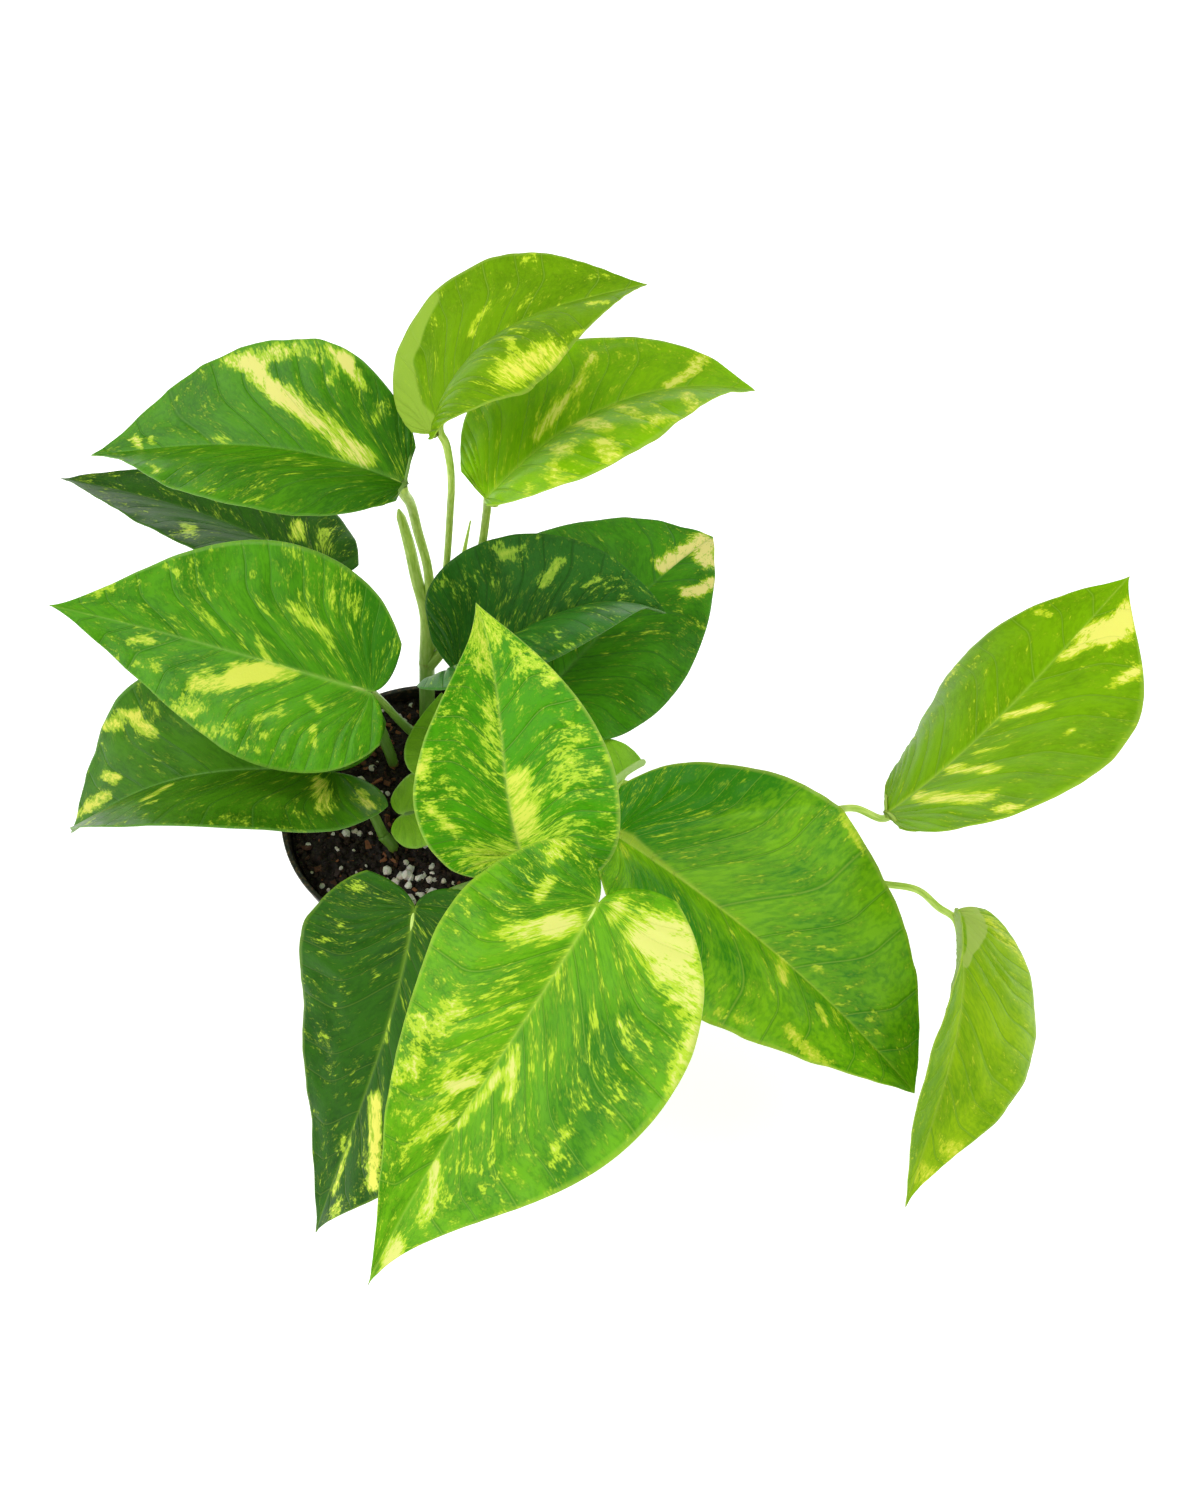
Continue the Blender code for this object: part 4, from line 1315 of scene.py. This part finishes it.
@dataclass
class PottingMix:
    """The soil that fills the pot, with its crumbs, bark chips and perlite.

    Its surface is the part's own: two sine products for crumbs and lumps in a shallow dish. Finer crumbs are
    laid over it here.

    Attributes:
        top: The height of its middle.
        relief: The height of its crumbs and lumps.
        radius: Its radius at the top.
        side: Radius and height of its side, down to its foot.
        crumbs: Finer crumbs: height, wavelength, seed and waves of each ripple.
        rings: Rings of the top.
        steps: Steps round it.
        soil: Its finish.
        grains: What lies on it.
    """

    top: float = 83.6
    relief: float = 1.6
    radius: float = 49.4
    side: tuple[Pair, ...] = ((49.3, 82.4), (46.9, 80.0), (35.4, 2.5))
    crumbs: tuple[tuple[float, float, int, int], ...] = ((0.55, 5.0, 3, 7), (0.35, 2.4, 4, 9))
    rings: int = 110
    steps: int = 260
    soil: PeatAndBark = field(default_factory=PeatAndBark)
    grains: tuple[GrainKind, ...] = (
        GrainKind(1500, (0.5, 1.4), (0.8, 0.7), (0.03, 0.22), 0.7),
        GrainKind(420, (0.6, 2.4), (0.6, 0.4), (0.15, 0.62), 0.35),
        GrainKind(50, (2.0, 4.5), (0.22, 0.16), (0.30, 0.60), 0.5),
        GrainKind(190, (0.7, 2.2), (0.9, 0.8), (0.82, 1.0), 0.9),
        GrainKind(60, (0.9, 2.3), (0.9, 0.8), (0.86, 1.0), 0.9, (-2.0, -33.0, 13.0)),
    )

    def height(self, x: Array, y: Array) -> Array:
        """Give the part's own soil height.

        Args:
            x: Places to the right of the pot's axis.
            y: Places behind it.

        Returns:
            The height there: the top, with crumbs and lumps, and higher by the square of the way out.
        """
        crumbs = np.sin(0.9 * x + 1.3 * np.sin(0.55 * y)) * np.sin(0.8 * y + 1.7 * np.sin(0.45 * x))
        lumps = np.sin(0.21 * x + 0.4) * np.cos(0.17 * y - 0.9)
        return self.top + self.relief * (CRUMB_SHARE * crumbs + LUMP_SHARE * lumps) + DISH * (x**2 + y**2)

    def bed(self) -> Shell:
        """Make the closed body of soil: a polar grid on top, a side that follows the pot, and a flat foot.

        Returns:
            The bed, whose grain value is 0 all over.
        """
        ring = (np.linspace(0, 1, self.rings + 1)[1:] ** 0.8)[:, None] * self.radius
        turn = np.linspace(0, 2 * np.pi, self.steps, endpoint=False)
        x, y = ring * np.cos(turn), ring * np.sin(turn)
        z = self.height(x, y)
        for height, wavelength, seed, waves in self.crumbs:
            z = z + height * ripple(np.stack([x, y], -1), wavelength, seed, waves)
        low = np.maximum(z - EDGE_DROP, self.side[0][1] + 0.1)
        z = np.where(ring > self.radius - EDGE_WIDTH, low, z)
        side = [np.stack([radius * np.cos(turn), radius * np.sin(turn), np.full_like(turn, level)], -1)
                for radius, level in self.side]
        rings = np.concatenate([np.stack([x, y, z], -1), side])
        poles = [(0, 0, float(self.height(np.array(0.0), np.array(0.0)))), (0, 0, self.side[-1][1])]
        vertices = np.concatenate([rings.reshape(-1, 3), poles])
        faces = tube_faces(len(rings), self.steps, True)
        return Shell(vertices, faces, None, {"grain": np.zeros(len(vertices))})

    def strewn(self, kind: GrainKind, seed: int) -> Shell:
        """Strew one kind of grain: a dimpled block of 24 faces for each, turned and sized at random.

        Args:
            kind: The kind of grain.
            seed: Chooses their places.

        Returns:
            All of them as one shell.
        """
        draw = np.random.default_rng(seed)
        axis = np.array([-1.0, 0.0, 1.0])
        lattice = np.stack(np.meshgrid(axis, axis, axis, indexing="ij"), -1).reshape(-1, 3)
        number = np.arange(27).reshape(3, 3, 3)
        sheets = [number[0, :, ::-1], number[2], number[:, 0], number[:, 2, ::-1], number[:, ::-1, 0],
                  number[:, :, 2]]
        block = np.concatenate([np.stack([s[:-1, :-1], s[1:, :-1], s[1:, 1:], s[:-1, 1:]], -1).reshape(-1, 4)
                                for s in sheets])
        keep = np.flatnonzero(np.abs(lattice).max(1) > 0)
        renumber = np.full(27, -1)
        renumber[keep] = np.arange(len(keep))
        block, lattice = renumber[block], lattice[keep]
        ball = lattice / np.linalg.norm(lattice, axis=1, keepdims=True)
        form = ball * kind.roundness + lattice * BLOCK_SHARE * (1 - kind.roundness)
        count = kind.count
        dimple = draw.uniform(*DIMPLES, (count, len(form), 1))
        length = kind.size[0] + (kind.size[1] - kind.size[0]) * draw.uniform(0, 1, count) ** LENGTH_POWER
        spread = draw.uniform(*GIRTH, (count, 2))
        scale = np.concatenate([length[:, None], length[:, None] * kind.flatness * spread], -1)
        grains = form[None] * dimple * scale[:, None]
        yaw, pitch, tilt = (draw.uniform(0, 2 * np.pi, count), draw.normal(0, NOD, count),
                            draw.normal(0, ROLL, count))
        grains = np.einsum("nij,nvj->nvi", turning(2, yaw) @ turning(1, pitch) @ turning(0, tilt), grains)
        angle = draw.uniform(0, 2 * np.pi, count)
        away = np.sqrt(draw.uniform(0, 1, count)) * (self.radius - 0.6 - length)
        x, y = away * np.cos(angle), away * np.sin(angle)
        if kind.heap:
            reach = kind.heap[2] / self.radius
            x, y = kind.heap[0] + reach * x, kind.heap[1] + reach * y
        lift = scale[:, 2] * draw.uniform(*STANDING, count)
        grains += np.stack([x, y, self.height(x, y) + lift], -1)[:, None]
        faces = (block[None] + (np.arange(count) * len(form))[:, None, None]).reshape(-1, 4)
        tint = np.repeat(draw.uniform(*kind.tint, count), len(form))
        return Shell(grains.reshape(-1, 3), [faces], None, {"grain": tint})

    def build(self) -> bpy.types.Object:
        """Make the soil and its grains as one piece.

        Returns:
            The piece, which stands for the soil's solid.
        """
        shells = [self.bed(), *[self.strewn(kind, GRAIN_SEED + k) for k, kind in enumerate(self.grains)]]
        piece = Shell.joined(shells).to_object("potting_mix", self.soil.material(), False)
        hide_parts("soil")
        return piece


def strokes(side: Side, *marks: tuple, tissue: Tissue = Tissue.PALE) -> tuple[Splash, ...]:
    """Give splashes on one half of a blade, each from its width, its strength and the points of its path."""
    return tuple(Splash(side, mark[2:], mark[0], mark[1], tissue) for mark in marks)


L, R = Side.LEFT, Side.RIGHT
# What the three small young blades have in common: few veins, hardly any relief, and a coarser mesh.
YOUNG = {"veins": 6, "quilting": 0.1, "rows": 60, "columns": 16, "ridge": 0.5, "groove": 0.15}

BLADES = [
    Blade("blade_top", (17, 49, 232), (80, 90, 251), LIGHT, Slot.LIGHT_LEAF, roll=-50, twist=30,
          half=(34, 40), lobes=(4, 7), arch=(22, 9), sweep=(-2, 3), fold=(30, 20), curl=(0, 75),
          shoulder=0.7, splashes=(
        *strokes(R, (6, 1, (.48, .78), (.66, .9)), (2, .8, (.84, .55), (.87, .72)),
                 (2, .5, (.6, .5), (.57, .6)), (1.5, .7, (.76, .93), (.77, .97))),
        *strokes(L, (1.5, .8, (.63, .42), (.55, .22)), (2, .5, (.75, .9), (.76, .95))),
        *strokes(L, (5, .9, (.47, .95), (.3, .8), (.15, .5), (.05, .2)), tissue=Tissue.DULL))),
    Blade("blade_upper_right", (31, 45, 207), (116, 86, 212), SUNNY, Slot.LIGHT_LEAF, roll=-30, twist=15,
          half=(40, 42), lobes=(4, 4), arch=(17, 16), sweep=(2, -8), fold=(25, 25), curl=(20, 40),
          taper=1.05, slant=(0.3, 0.05), splashes=(
        *strokes(L, (2, .9, (.9, .85), (.88, .4), (.82, .05)), (2, .7, (.7, .7), (.62, .3), (.45, .1))),
        *strokes(R, (2.5, .9, (.56, .05), (.55, .6)), (2.5, .5, (.66, .05), (.6, .9)),
                 (2, .6, (.43, .15), (.42, .6)), (3, .8, (.5, .7), (.45, .95)),
                 (3, .6, (.35, .6), (.3, .95)), (3, .5, (.8, .6), (.75, .95)), (2, .5, (.25, .7), (.2, .9)),
                 (4, .7, (.65, .88), (.66, .92)), (8, .1, (.7, .5), (.4, .5))))),
    Blade("blade_upper_left", (5, 52, 206), (-101, 73, 196), MEADOW, Slot.MID_LEAF, twist=10, half=(36, 34),
          lobes=(3, 3), arch=(20, 4), sweep=(0, 5), fold=(25, 35), curl=(20, -10), shoulder=0.7, taper=1.25,
          waves=1.0, splashes=(
        *strokes(R, (3.5, 1, (.3, .07), (.4, .15), (.5, .32), (.58, .52), (.62, .75), (.66, .92)),
                 (3.5, .75, (.62, .85), (.5, .93), (.38, .88)), (2, .8, (.33, .75), (.37, .9)),
                 (1.5, .6, (.44, .62), (.41, .72)), (2, .5, (.28, .5), (.25, .7)),
                 (2, .3, (.12, .05), (.15, .25)), (1.5, .8, (.9, .08), (.91, .5)),
                 (1.5, .5, (.87, .15), (.88, .25)), (1.5, .6, (.7, .03), (.75, .1))),
        *strokes(R, (8, .8, (.1, .5), (.22, .9)), tissue=Tissue.DEEP),
        *strokes(L, (12, .7, (.08, .5), (.3, .6)), tissue=Tissue.DEEP),
        *strokes(L, (1.5, .7, (.75, .85), (.8, .8)), (2, .2, (.6, .9), (.4, .92)),
                 (1.5, .3, (.38, .5), (.33, .3))))),
    Blade("blade_back_left", (-41, 84, 120), (-147, 126, 126), DARK, Slot.DARK_LEAF, roll=25, twist=-5,
          half=(38, 38), lobes=(13, 13), arch=(12, 6), fold=(20, 10), curl=(10, 15), shoulder=0.6,
          splashes=(
        *strokes(L, (3, .6, (.6, .5), (.53, .75))),
        *strokes(R, (3, .9, (.37, .4), (.33, .25)), (4, .5, (.27, .55), (.2, .35))))),
    Blade("blade_left", (-11, 8, 154), (-127, 47, 149), MIDDLE, Slot.MID_LEAF, roll=-40, half=(34, 44),
          lobes=(14, 14), arch=(5, -5), sweep=(2, 1), fold=(15, 20), curl=(5, 5), taper=1.3, waves=1.0,
          splashes=(
        *strokes(L, (3.5, .85, (.42, .03), (.55, .2), (.6, .35), (.66, .5)), (4, .75, (.57, .2), (.5, .05)),
                 (1.5, .8, (.83, .4), (.79, .2)), (2, .6, (.8, .7), (.75, .55)),
                 (3, .7, (.68, .95), (.63, .75)), (3, .6, (.6, .95), (.55, .8)),
                 (1, .8, (.44, .85), (.45, .83)), (1, .8, (.45, .7), (.44, .68)),
                 (1.5, .8, (.28, .65), (.3, .5)), (1.5, .6, (.35, .2), (.3, .3)),
                 (1.5, .5, (.48, .55), (.42, .4)), (12, .15, (.6, .5), (.4, .5))),
        *strokes(R, (2, .8, (.5, .02), (.53, .15)), (1.5, .5, (.66, .3), (.62, .15)),
                 (2, .5, (.42, .5), (.3, .3)), (5, .28, (.41, .95), (.33, .75), (.26, .5)),
                 (1.5, .8, (.72, .8), (.74, .9)), (2, .7, (.9, .9), (.87, .95)),
                 (3, .25, (.3, .95), (.22, .7))),
        *strokes(R, (12, .9, (.06, .5), (.2, .8)), tissue=Tissue.DEEP))),
    Blade("blade_lower_left", (-30, 0, 114), (-138, -1, 67), GRASS, Slot.MID_LEAF, roll=-10, twist=15,
          half=(44, 45), lobes=(25, 23), arch=(33, 15), sweep=(3, 4), fold=(40, 35), curl=(-5, -5),
          taper=1.15, waves=1.0, splashes=(
        *strokes(R, (2, .7, (.92, .4), (.96, .8)), (2.5, .9, (.85, .2), (.92, .35)),
                 (2.5, .9, (.8, .3), (.83, .45)), (2.5, .9, (.66, .45), (.7, .7)),
                 (3, 1, (.74, .8), (.77, .95)), (2, .8, (.68, .7), (.72, .85))),
        *strokes(L, (3, 1, (.66, .35), (.64, .15)), (1, .8, (.63, .5), (.62, .48)),
                 (1.5, .5, (.57, .1), (.56, .13)), (3, .8, (.22, .65), (.17, .2)),
                 (3, .8, (.06, .85), (.05, .6))))),
    Blade("blade_dark_centre", (18, 25, 138), (90, 55, 133), BLUE_DARK, Slot.DARK_LEAF, roll=-20, twist=25,
          half=(34, 47), lobes=(7, 7), arch=(21, 17), sweep=(9, -6), fold=(40, 55), curl=(-20, 50),
          shoulder=0.5, taper=1.15, splashes=(
        *strokes(L, (2, .9, (.7, .65), (.64, .4)), (1.5, .7, (.6, .85), (.55, .8)),
                 (1, .5, (.8, .45), (.75, .3)), (2, .5, (.55, .9), (.58, .7)),
                 (2, .4, (.3, .9), (.32, .86))),)),
    Blade("blade_back_right", (46, 30, 118), (112, 115, 103), IVY, Slot.DARK_LEAF, roll=10, half=(47, 37),
          lobes=(17, 17), arch=(7, 12), sweep=(-1, -1), fold=(20, 15), curl=(15, 15), taper=1.1, waves=1.0,
          splashes=(
        *strokes(R, (5, 1.3, (.97, 0), (.93, .3), (.9, .55), (.91, .95)),
                 (3, 1.3, (.84, .95), (.8, .7), (.77, .5)), (1, .5, (.62, .2), (.5, .15))),
        *strokes(L, (4, 1.2, (.8, .1), (.92, .05), (.97, .2))))),
    Blade("blade_centre", (41, -47, 146), (28, 14, 195), MARBLED, Slot.FRESH_LEAF, roll=-20, twist=15,
          half=(29, 39), lobes=(11, 11), arch=(14, -4), sweep=(1, 4), fold=(20, 20), curl=(10, 0),
          shoulder=0.6, taper=1.25, waves=0.8, splashes=(
        *strokes(R, (6, .7, (.2, .03), (.35, .08), (.45, .15), (.5, .1)), (7, .22, (.3, .3), (.5, .6)),
                 (5, .25, (.5, .4), (.62, .7)), (4, .4, (.85, .6), (.8, .9)),
                 (5, .5, (.93, .3), (.97, .3))),
        *strokes(L, (5, .5, (.93, .3), (.97, .3)), (4, .5, (.85, .3), (.88, .1)),
                 (2, .7, (.62, .9), (.58, .95)), (2, .5, (.45, .8), (.35, .6)),
                 (6, .45, (.2, .55), (.12, .2)), (3, .4, (.6, .1), (.75, .1))))),
    Blade("blade_front_big", (65, -77, 174), (-3, -169, 104), FRESH, Slot.FRESH_LEAF, roll=5, twist=-5,
          half=(52, 38), lobes=(18, 18), arch=(7, 1), sweep=(-3, 5), fold=(15, 15), curl=(-5, 25),
          shoulder=0.6, taper=1.45, waves=1.2, splashes=(
        *strokes(L, (7, .8, (.22, .97), (.15, .6)), (6, .75, (.1, .9), (.1, .45)),
                 (4, .8, (.3, 1), (.38, 1)), (3, .9, (.87, .5), (.8, .1)), (4, 1.1, (.95, 1), (.93, .5)),
                 (2.5, .8, (.62, .2), (.55, .05)), (2, .8, (.72, .03), (.6, .06)),
                 (2, .6, (.63, .75), (.58, .65)), (1.5, .4, (.4, .7), (.36, .5)),
                 (3, .7, (.08, .2), (.05, .3))),
        *strokes(R, (3, .9, (.2, .08), (.26, .2)), (4, .6, (.26, .2), (.36, .42)),
                 (5, .5, (.56, .5), (.62, .8)), (4, .5, (.68, .7), (.72, .95)),
                 (7, .3, (.5, .2), (.75, .4)), (1.5, .5, (.72, .1), (.8, .5)),
                 (2, .7, (.64, .05), (.68, .25)), (2, .7, (.22, .45), (.15, .5)),
                 (3, .7, (.08, .75), (.05, .9))),
        *strokes(R, (9, .6, (.08, .4), (.2, .6)), tissue=Tissue.DEEP),
        *strokes(L, (12, .5, (.4, .5), (.6, .7)), tissue=Tissue.DEEP))),
    Blade("blade_front_left", (6, -60, 129), (-32, -144, 46), MOSS, Slot.DARK_LEAF, roll=15, twist=20,
          half=(50, 44), lobes=(17, 14), arch=(3, 4), sweep=(-9, -3), fold=(10, 5), curl=(15, 5),
          taper=1.25, waves=1.2, splashes=(
        *strokes(L, (3.5, 1.2, (.8, .75), (.76, .5), (.68, .15)), (3, .5, (.93, 1), (.9, .6)),
                 (1.5, .8, (.9, .2), (.8, .05)), (1.5, .8, (.55, .03), (.5, 0))),
        *strokes(R, (1.5, .8, (.82, .05), (.8, .1)), (1, .8, (.49, .5), (.48, .48)),
                 (1, .4, (.4, .2), (.39, .23)), (1, .5, (.3, .65), (.29, .63)),
                 (2, .5, (.08, .85), (.07, .8)), (1, .6, (.55, .55), (.54, .53))))),
    Blade("blade_right_big", (72, -34, 131), (166, -112, 105), GLADE, Slot.MID_LEAF, roll=-25, twist=10,
          half=(56, 47), lobes=(13, 13), arch=(0, 6), sweep=(-8, -4), fold=(20, 25), curl=(5, 35),
          shoulder=0.7, taper=1.0, waves=1.0, splashes=(
        *strokes(R, (2.5, 1, (.7, .03), (.72, .25)), (1.5, .7, (.8, .2), (.82, .35)),
                 (3, .8, (.78, .75), (.85, .95)), (2, .6, (.7, .85), (.65, .9)),
                 (1.5, .5, (.72, .45), (.71, .42)), (3, .4, (.15, .05), (.17, .3))),
        *strokes(L, (1.5, .8, (.76, .13), (.75, .1)), (2, .8, (.6, .98), (.66, .96))),
        # This deeper green over the part above the crease is partly the blade's own tone and partly painted
        # shade of the slope that turns away from the light.
        *strokes(L, (14, 1, (.1, .35), (.22, .65), (.38, .95)), tissue=Tissue.DEEP),
        *strokes(R, (9, .5, (.3, .4), (.6, .4)), tissue=Tissue.DEEP)),
          reliefs=(Relief(L, ((.14, .05), (.27, .25), (.46, .6), (.58, .97)), 9.0, 4.0),
                   Relief(L, ((.05, .2), (.16, .5), (.3, .95)), 2.5, -1.0))),
    Blade("blade_far_right", (162, -24, 128), (244, 45, 168), LEMON, Slot.LIGHT_LEAF, roll=-50, twist=40,
          half=(51, 55), lobes=(1, 1), arch=(0, -2), sweep=(13, 1), fold=(5, 10), curl=(50, 0),
          shoulder=0.68, taper=1.25, splashes=(
        *strokes(R, (4, 1.1, (.86, .05), (.9, .5), (.94, .95)), (5, 1.1, (.88, .6), (.91, .9)),
                 (2.5, .9, (.8, .05), (.85, .3), (.87, .5)), (2, 1, (.62, .03), (.68, .28)),
                 (2.5, .9, (.42, .05), (.47, .38)), (1.5, .4, (.5, .1), (.52, .2)),
                 (3, 1, (.27, .08), (.33, .35), (.38, .6)), (3, 1.1, (.77, .75), (.8, .92)),
                 (2, .8, (.35, .82), (.36, .9)), (1, .7, (.63, .6), (.62, .58)),
                 (1, .7, (.85, .55), (.84, .53))),
        *strokes(L, (1.5, .7, (.85, .8), (.86, .6)), (3, .6, (.65, .9), (.64, .87))))),
    Blade("blade_lower_right", (186, -53, 111), (161, -145, 96), AMBER, Slot.LIGHT_LEAF, roll=-50, twist=20,
          half=(40, 36), lobes=(8, 0), arch=(12, 5), sweep=(-5, 2), fold=(15, 20), curl=(20, -25),
          shoulder=0.6, taper=1.45, splashes=(
        *strokes(L, (4, .8, (.93, .9), (.93, .3)), (4, .8, (.85, .85), (.86, .8)),
                 (4, .5, (.25, .95), (.1, .6))),
        *strokes(L, (6, .7, (.02, .5), (.12, .3)), (4, .7, (.12, .3), (.24, .15)),
                 (2, .7, (.24, .15), (.37, .02)), tissue=Tissue.DULL),
        *strokes(R, (5, .7, (.02, .6), (.16, .25)), (3, .7, (.16, .2), (.3, .05)), tissue=Tissue.DULL),
        # This deeper green strip is painted shade that stands for a crease beside the midrib.
        *strokes(R, (9, .8, (.45, .5), (.7, .5), (.85, .6)), tissue=Tissue.DEEP)),
          reliefs=(Relief(L, ((.37, .4), (.5, .05)), 1.2, -.4),)),
    Blade("blade_small_right", (68, -5, 107), (82, 4, 112), BABY, Slot.LIGHT_LEAF, half=(19, 15),
          lobes=(4, 4), arch=(3, 3), fold=(25, 80), curl=(40, 10), shoulder=0.6, taper=0.7, **YOUNG),
    Blade("blade_young_low", (-5, -10, 100), (28, -9, 108), BABY, Slot.LIGHT_LEAF, roll=10, half=(15, 14),
          lobes=(6, 6), arch=(3, 3), fold=(12, 12), curl=(20, 20), **YOUNG),
    Blade("blade_young_high", (8, 2, 112), (9, 28, 122), BABY, Slot.LIGHT_LEAF, half=(12, 12), lobes=(5, 5),
          arch=(3, 3), fold=(12, 12), curl=(20, 20), **YOUNG),
]

VINES = [
    Vine("back_vine", ((-1, 37, 86), (0, 42, 98), (1, 51, 112), (2, 58, 126), (0, 63, 144), (-1, 66, 160),
          (-2, 67, 172), (-2, 66, 177)), 2.6, (
        Petiole("blade_upper_left", ((2, 55, 118), (4, 60, 132), (5, 62, 150), (4, 62, 170), (4, 58, 190)),
                1.7),
        Petiole("blade_top", ((2, 52, 113), (6, 55, 120), (9, 58, 136), (13, 58, 160), (17, 57, 188),
                (19, 54, 203), (20, 51, 218)), 1.2),
        Petiole("blade_upper_right", ((1, 48, 108), (8, 51, 116), (19, 60, 140), (25, 63, 162),
                (28, 62, 180), (30, 57, 194)), 1.45),
        Petiole("spike", ((1, 50, 110), (8, 60, 120), (14, 72, 134), (19, 84, 150)), 1.2)),
         thin_end=(2.5, 2.2, 2.0, 1.6, 0.5), nodes=(1.8,)),
    Vine("back_left_stem", ((-13, 20, 86), (-17, 28, 98)), 2.0, (
        Petiole("blade_back_left", ((-17, 28, 98), (-25, 50, 106))),)),
    Vine("left_stem", ((-1, 28, 86), (-1, 25, 96)), 2.0, (
        Petiole("blade_left", ((-1, 25, 96), (-3, 20, 108), (-6, 17, 122), (-9, 14, 138)), 1.45),)),
    Vine("lower_left_stem", ((-10, -16, 86), (-13, -14, 91)), 2.0, (
        Petiole("blade_lower_left", ((-13, -14, 91), (-17, -8, 99))),)),
    Vine("middle_vine", ((24, 24, 86), (24, 25, 104)), 2.3, (
        Petiole("blade_dark_centre", ((24, 25, 104), (22, 28, 120))),
        Petiole("blade_back_right", ((24, 25, 97), (32, 25, 106))))),
    Vine("front_left_stem", ((28, -27, 86), (27, -31, 94)), 2.0, (
        Petiole("blade_front_left", ((27, -31, 94), (23, -39, 104), (16, -46, 113))),)),
    Vine("centre_stem", ((27, -14, 86), (29, -20, 98)), 2.0, (
        Petiole("blade_centre", ((29, -20, 98), (37, -38, 122))),)),
    Vine("front_big_stem", ((35, -22, 86), (38, -28, 96)), 2.2, (
        Petiole("blade_front_big", ((38, -28, 96), (52, -58, 130))),)),
    Vine("right_big_stem", ((38, -8, 86), (41, -10, 96)), 2.0, (
        Petiole("blade_right_big", ((41, -10, 96), (56, -20, 115))),)),
    Vine("right_vine", ((32, 6, 86), (44, 7, 97), (64, 4, 102), (92, -6, 100), (118, -9, 101),
          (131, -15, 103)), 2.2, (
        Petiole("blade_far_right", ((126, -13, 102), (139, -14, 106), (148, -15, 113), (154, -18, 120)),
                1.25, 0.2),
        Petiole("blade_lower_right", ((117, -9, 101), (129, -22, 102), (140, -33, 103), (153, -37, 104),
                (164, -40, 106), (175, -44, 109)), 1.2),
        Petiole("blade_small_right", ((60, 5, 101), (60, 0, 105)), 1.2)),
         nodes=(1.8, 3.0, 4.0), roots=(((64, 4, 101), (65, 3, 97)), ((92, -6, 99), (93, -7, 95)),
                ((92, -7, 100), (90, -11, 98)), ((118, -9, 100), (118, -8, 96)))),
    Vine("young_shoot", ((2, -8, 86), (2, -6, 90)), 1.4, (
        Petiole("blade_young_low", ((2, -6, 90), (-2, -8, 95))),
        Petiole("blade_young_high", ((2, -6, 90), (3, 3, 101))))),
]


@dataclass
class Studio:
    """The plain pale floor, the soft white light and the camera, which looks down 60 degrees from the front.

    Attributes:
        camera_place: Where the camera stands, in metres.
        camera_pitch: How far it is tilted up from looking straight down.
        lens: Its focal length for a sensor 36 mm wide.
        floor_colour: The backdrop paper's colour.
        floor_glow: How much light the paper gives off, which keeps its far parts white.
        floor_reach: Half the side of the paper.
        sky_strength: The level of the white light from all round.
        aim: The point that the lamps face, in metres.
        lamps: The name, place, side and power in watts of each square soft light, in metres.
    """

    camera_place: Point = (0.066, -0.224, 0.517)
    camera_pitch: float = 30.0
    lens: float = 31.2
    floor_colour: str = "#fdfdfc"
    floor_glow: float = 0.5
    floor_reach: float = 6000.0
    sky_strength: float = 0.42
    aim: Point = (0.04, -0.01, 0.12)
    lamps: tuple[tuple[str, Point, float, float], ...] = (
        ("window", (-2.4, -0.5, 1.8), 2.0, 62.0),
        ("overhead", (1.5, 0.7, 3.0), 2.4, 48.0),
        ("fill", (1.4, -1.8, 1.8), 2.0, 16.0),
    )

    def lay_floor(self) -> None:
        """Lay matt white backdrop paper, 1 mm under the pot, with a faint fibre 1 mm across."""
        made, tree, shader = new_material("matt white backdrop paper")
        add = partial(add_node, tree)
        fibre = add("TexNoise", {"Scale": 900.0, "Detail": 2.0, "Vector": add("TexCoord")})
        bump = add("Bump", {"Strength": 0.03, "Distance": 0.2 * MM, "Height": fibre})
        white = linear(self.floor_colour)
        fill(shader, {"Base Color": white, "Roughness": 0.9, "Normal": bump, "Emission Color": white,
                      "Emission Strength": self.floor_glow})
        signs = ((-1, -1), (1, -1), (1, 1), (-1, 1))
        corners = np.array([(x * self.floor_reach, y * self.floor_reach, -1) for x, y in signs], float)
        floor = Shell(corners, [np.array([[0, 1, 2, 3]])]).to_object("paper_floor", made, False)

    def hang_lights(self) -> None:
        """Light the scene from all round, and hang the lamps."""
        world = bpy.data.worlds.new("white studio")
        bpy.context.scene.world = world
        world.use_nodes = True
        fill(world.node_tree.nodes["Background"], {0: linear("#ffffff"), 1: self.sky_strength})
        for name, place, size, power in self.lamps:
            light = bpy.data.lights.new(name, "AREA")
            light.shape, light.size, light.energy = "SQUARE", size, power
            item = bpy.data.objects.new(name, light)
            bpy.context.scene.collection.objects.link(item)
            item.location = place
            away = item.location - Vector(self.aim)
            item.rotation_euler = away.to_track_quat("Z", "Y").to_euler()

    def set_camera(self) -> None:
        """Set up the camera, with plain colours."""
        scene = bpy.context.scene
        scene.view_settings.view_transform = "Standard"
        lens = bpy.data.cameras.new("camera")
        lens.lens, lens.sensor_width = self.lens, 36.0
        lens.clip_start, lens.clip_end = 0.01, 30.0
        camera = bpy.data.objects.new("camera", lens)
        camera.location = self.camera_place
        camera.rotation_euler = (np.radians(self.camera_pitch), 0.0, 0.0)
        scene.collection.objects.link(camera)
        scene.camera = camera

    def build(self) -> None:
        """Lay the floor, hang the lights and set up the camera."""
        self.lay_floor()
        self.hang_lights()
        self.set_camera()


def main() -> None:
    """Load the frame, set up the studio, make each piece on it, and attach each to the root body."""
    logging.basicConfig(level=logging.INFO, format="%(name)s: %(message)s")
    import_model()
    Studio().build()
    pieces = [NurseryPot().build(), PottingMix().build()]
    blades = {blade.name: blade for blade in BLADES}
    stem_finish = GreenStem().material()
    pieces += [vine.build(blades, stem_finish) for vine in VINES]
    pieces += [blade.build() for blade in BLADES]
    for piece in pieces:
        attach(piece, "root")
        LOG.info("%s: %d faces", piece.name, len(piece.data.polygons))


if __name__ == "__main__":
    main()
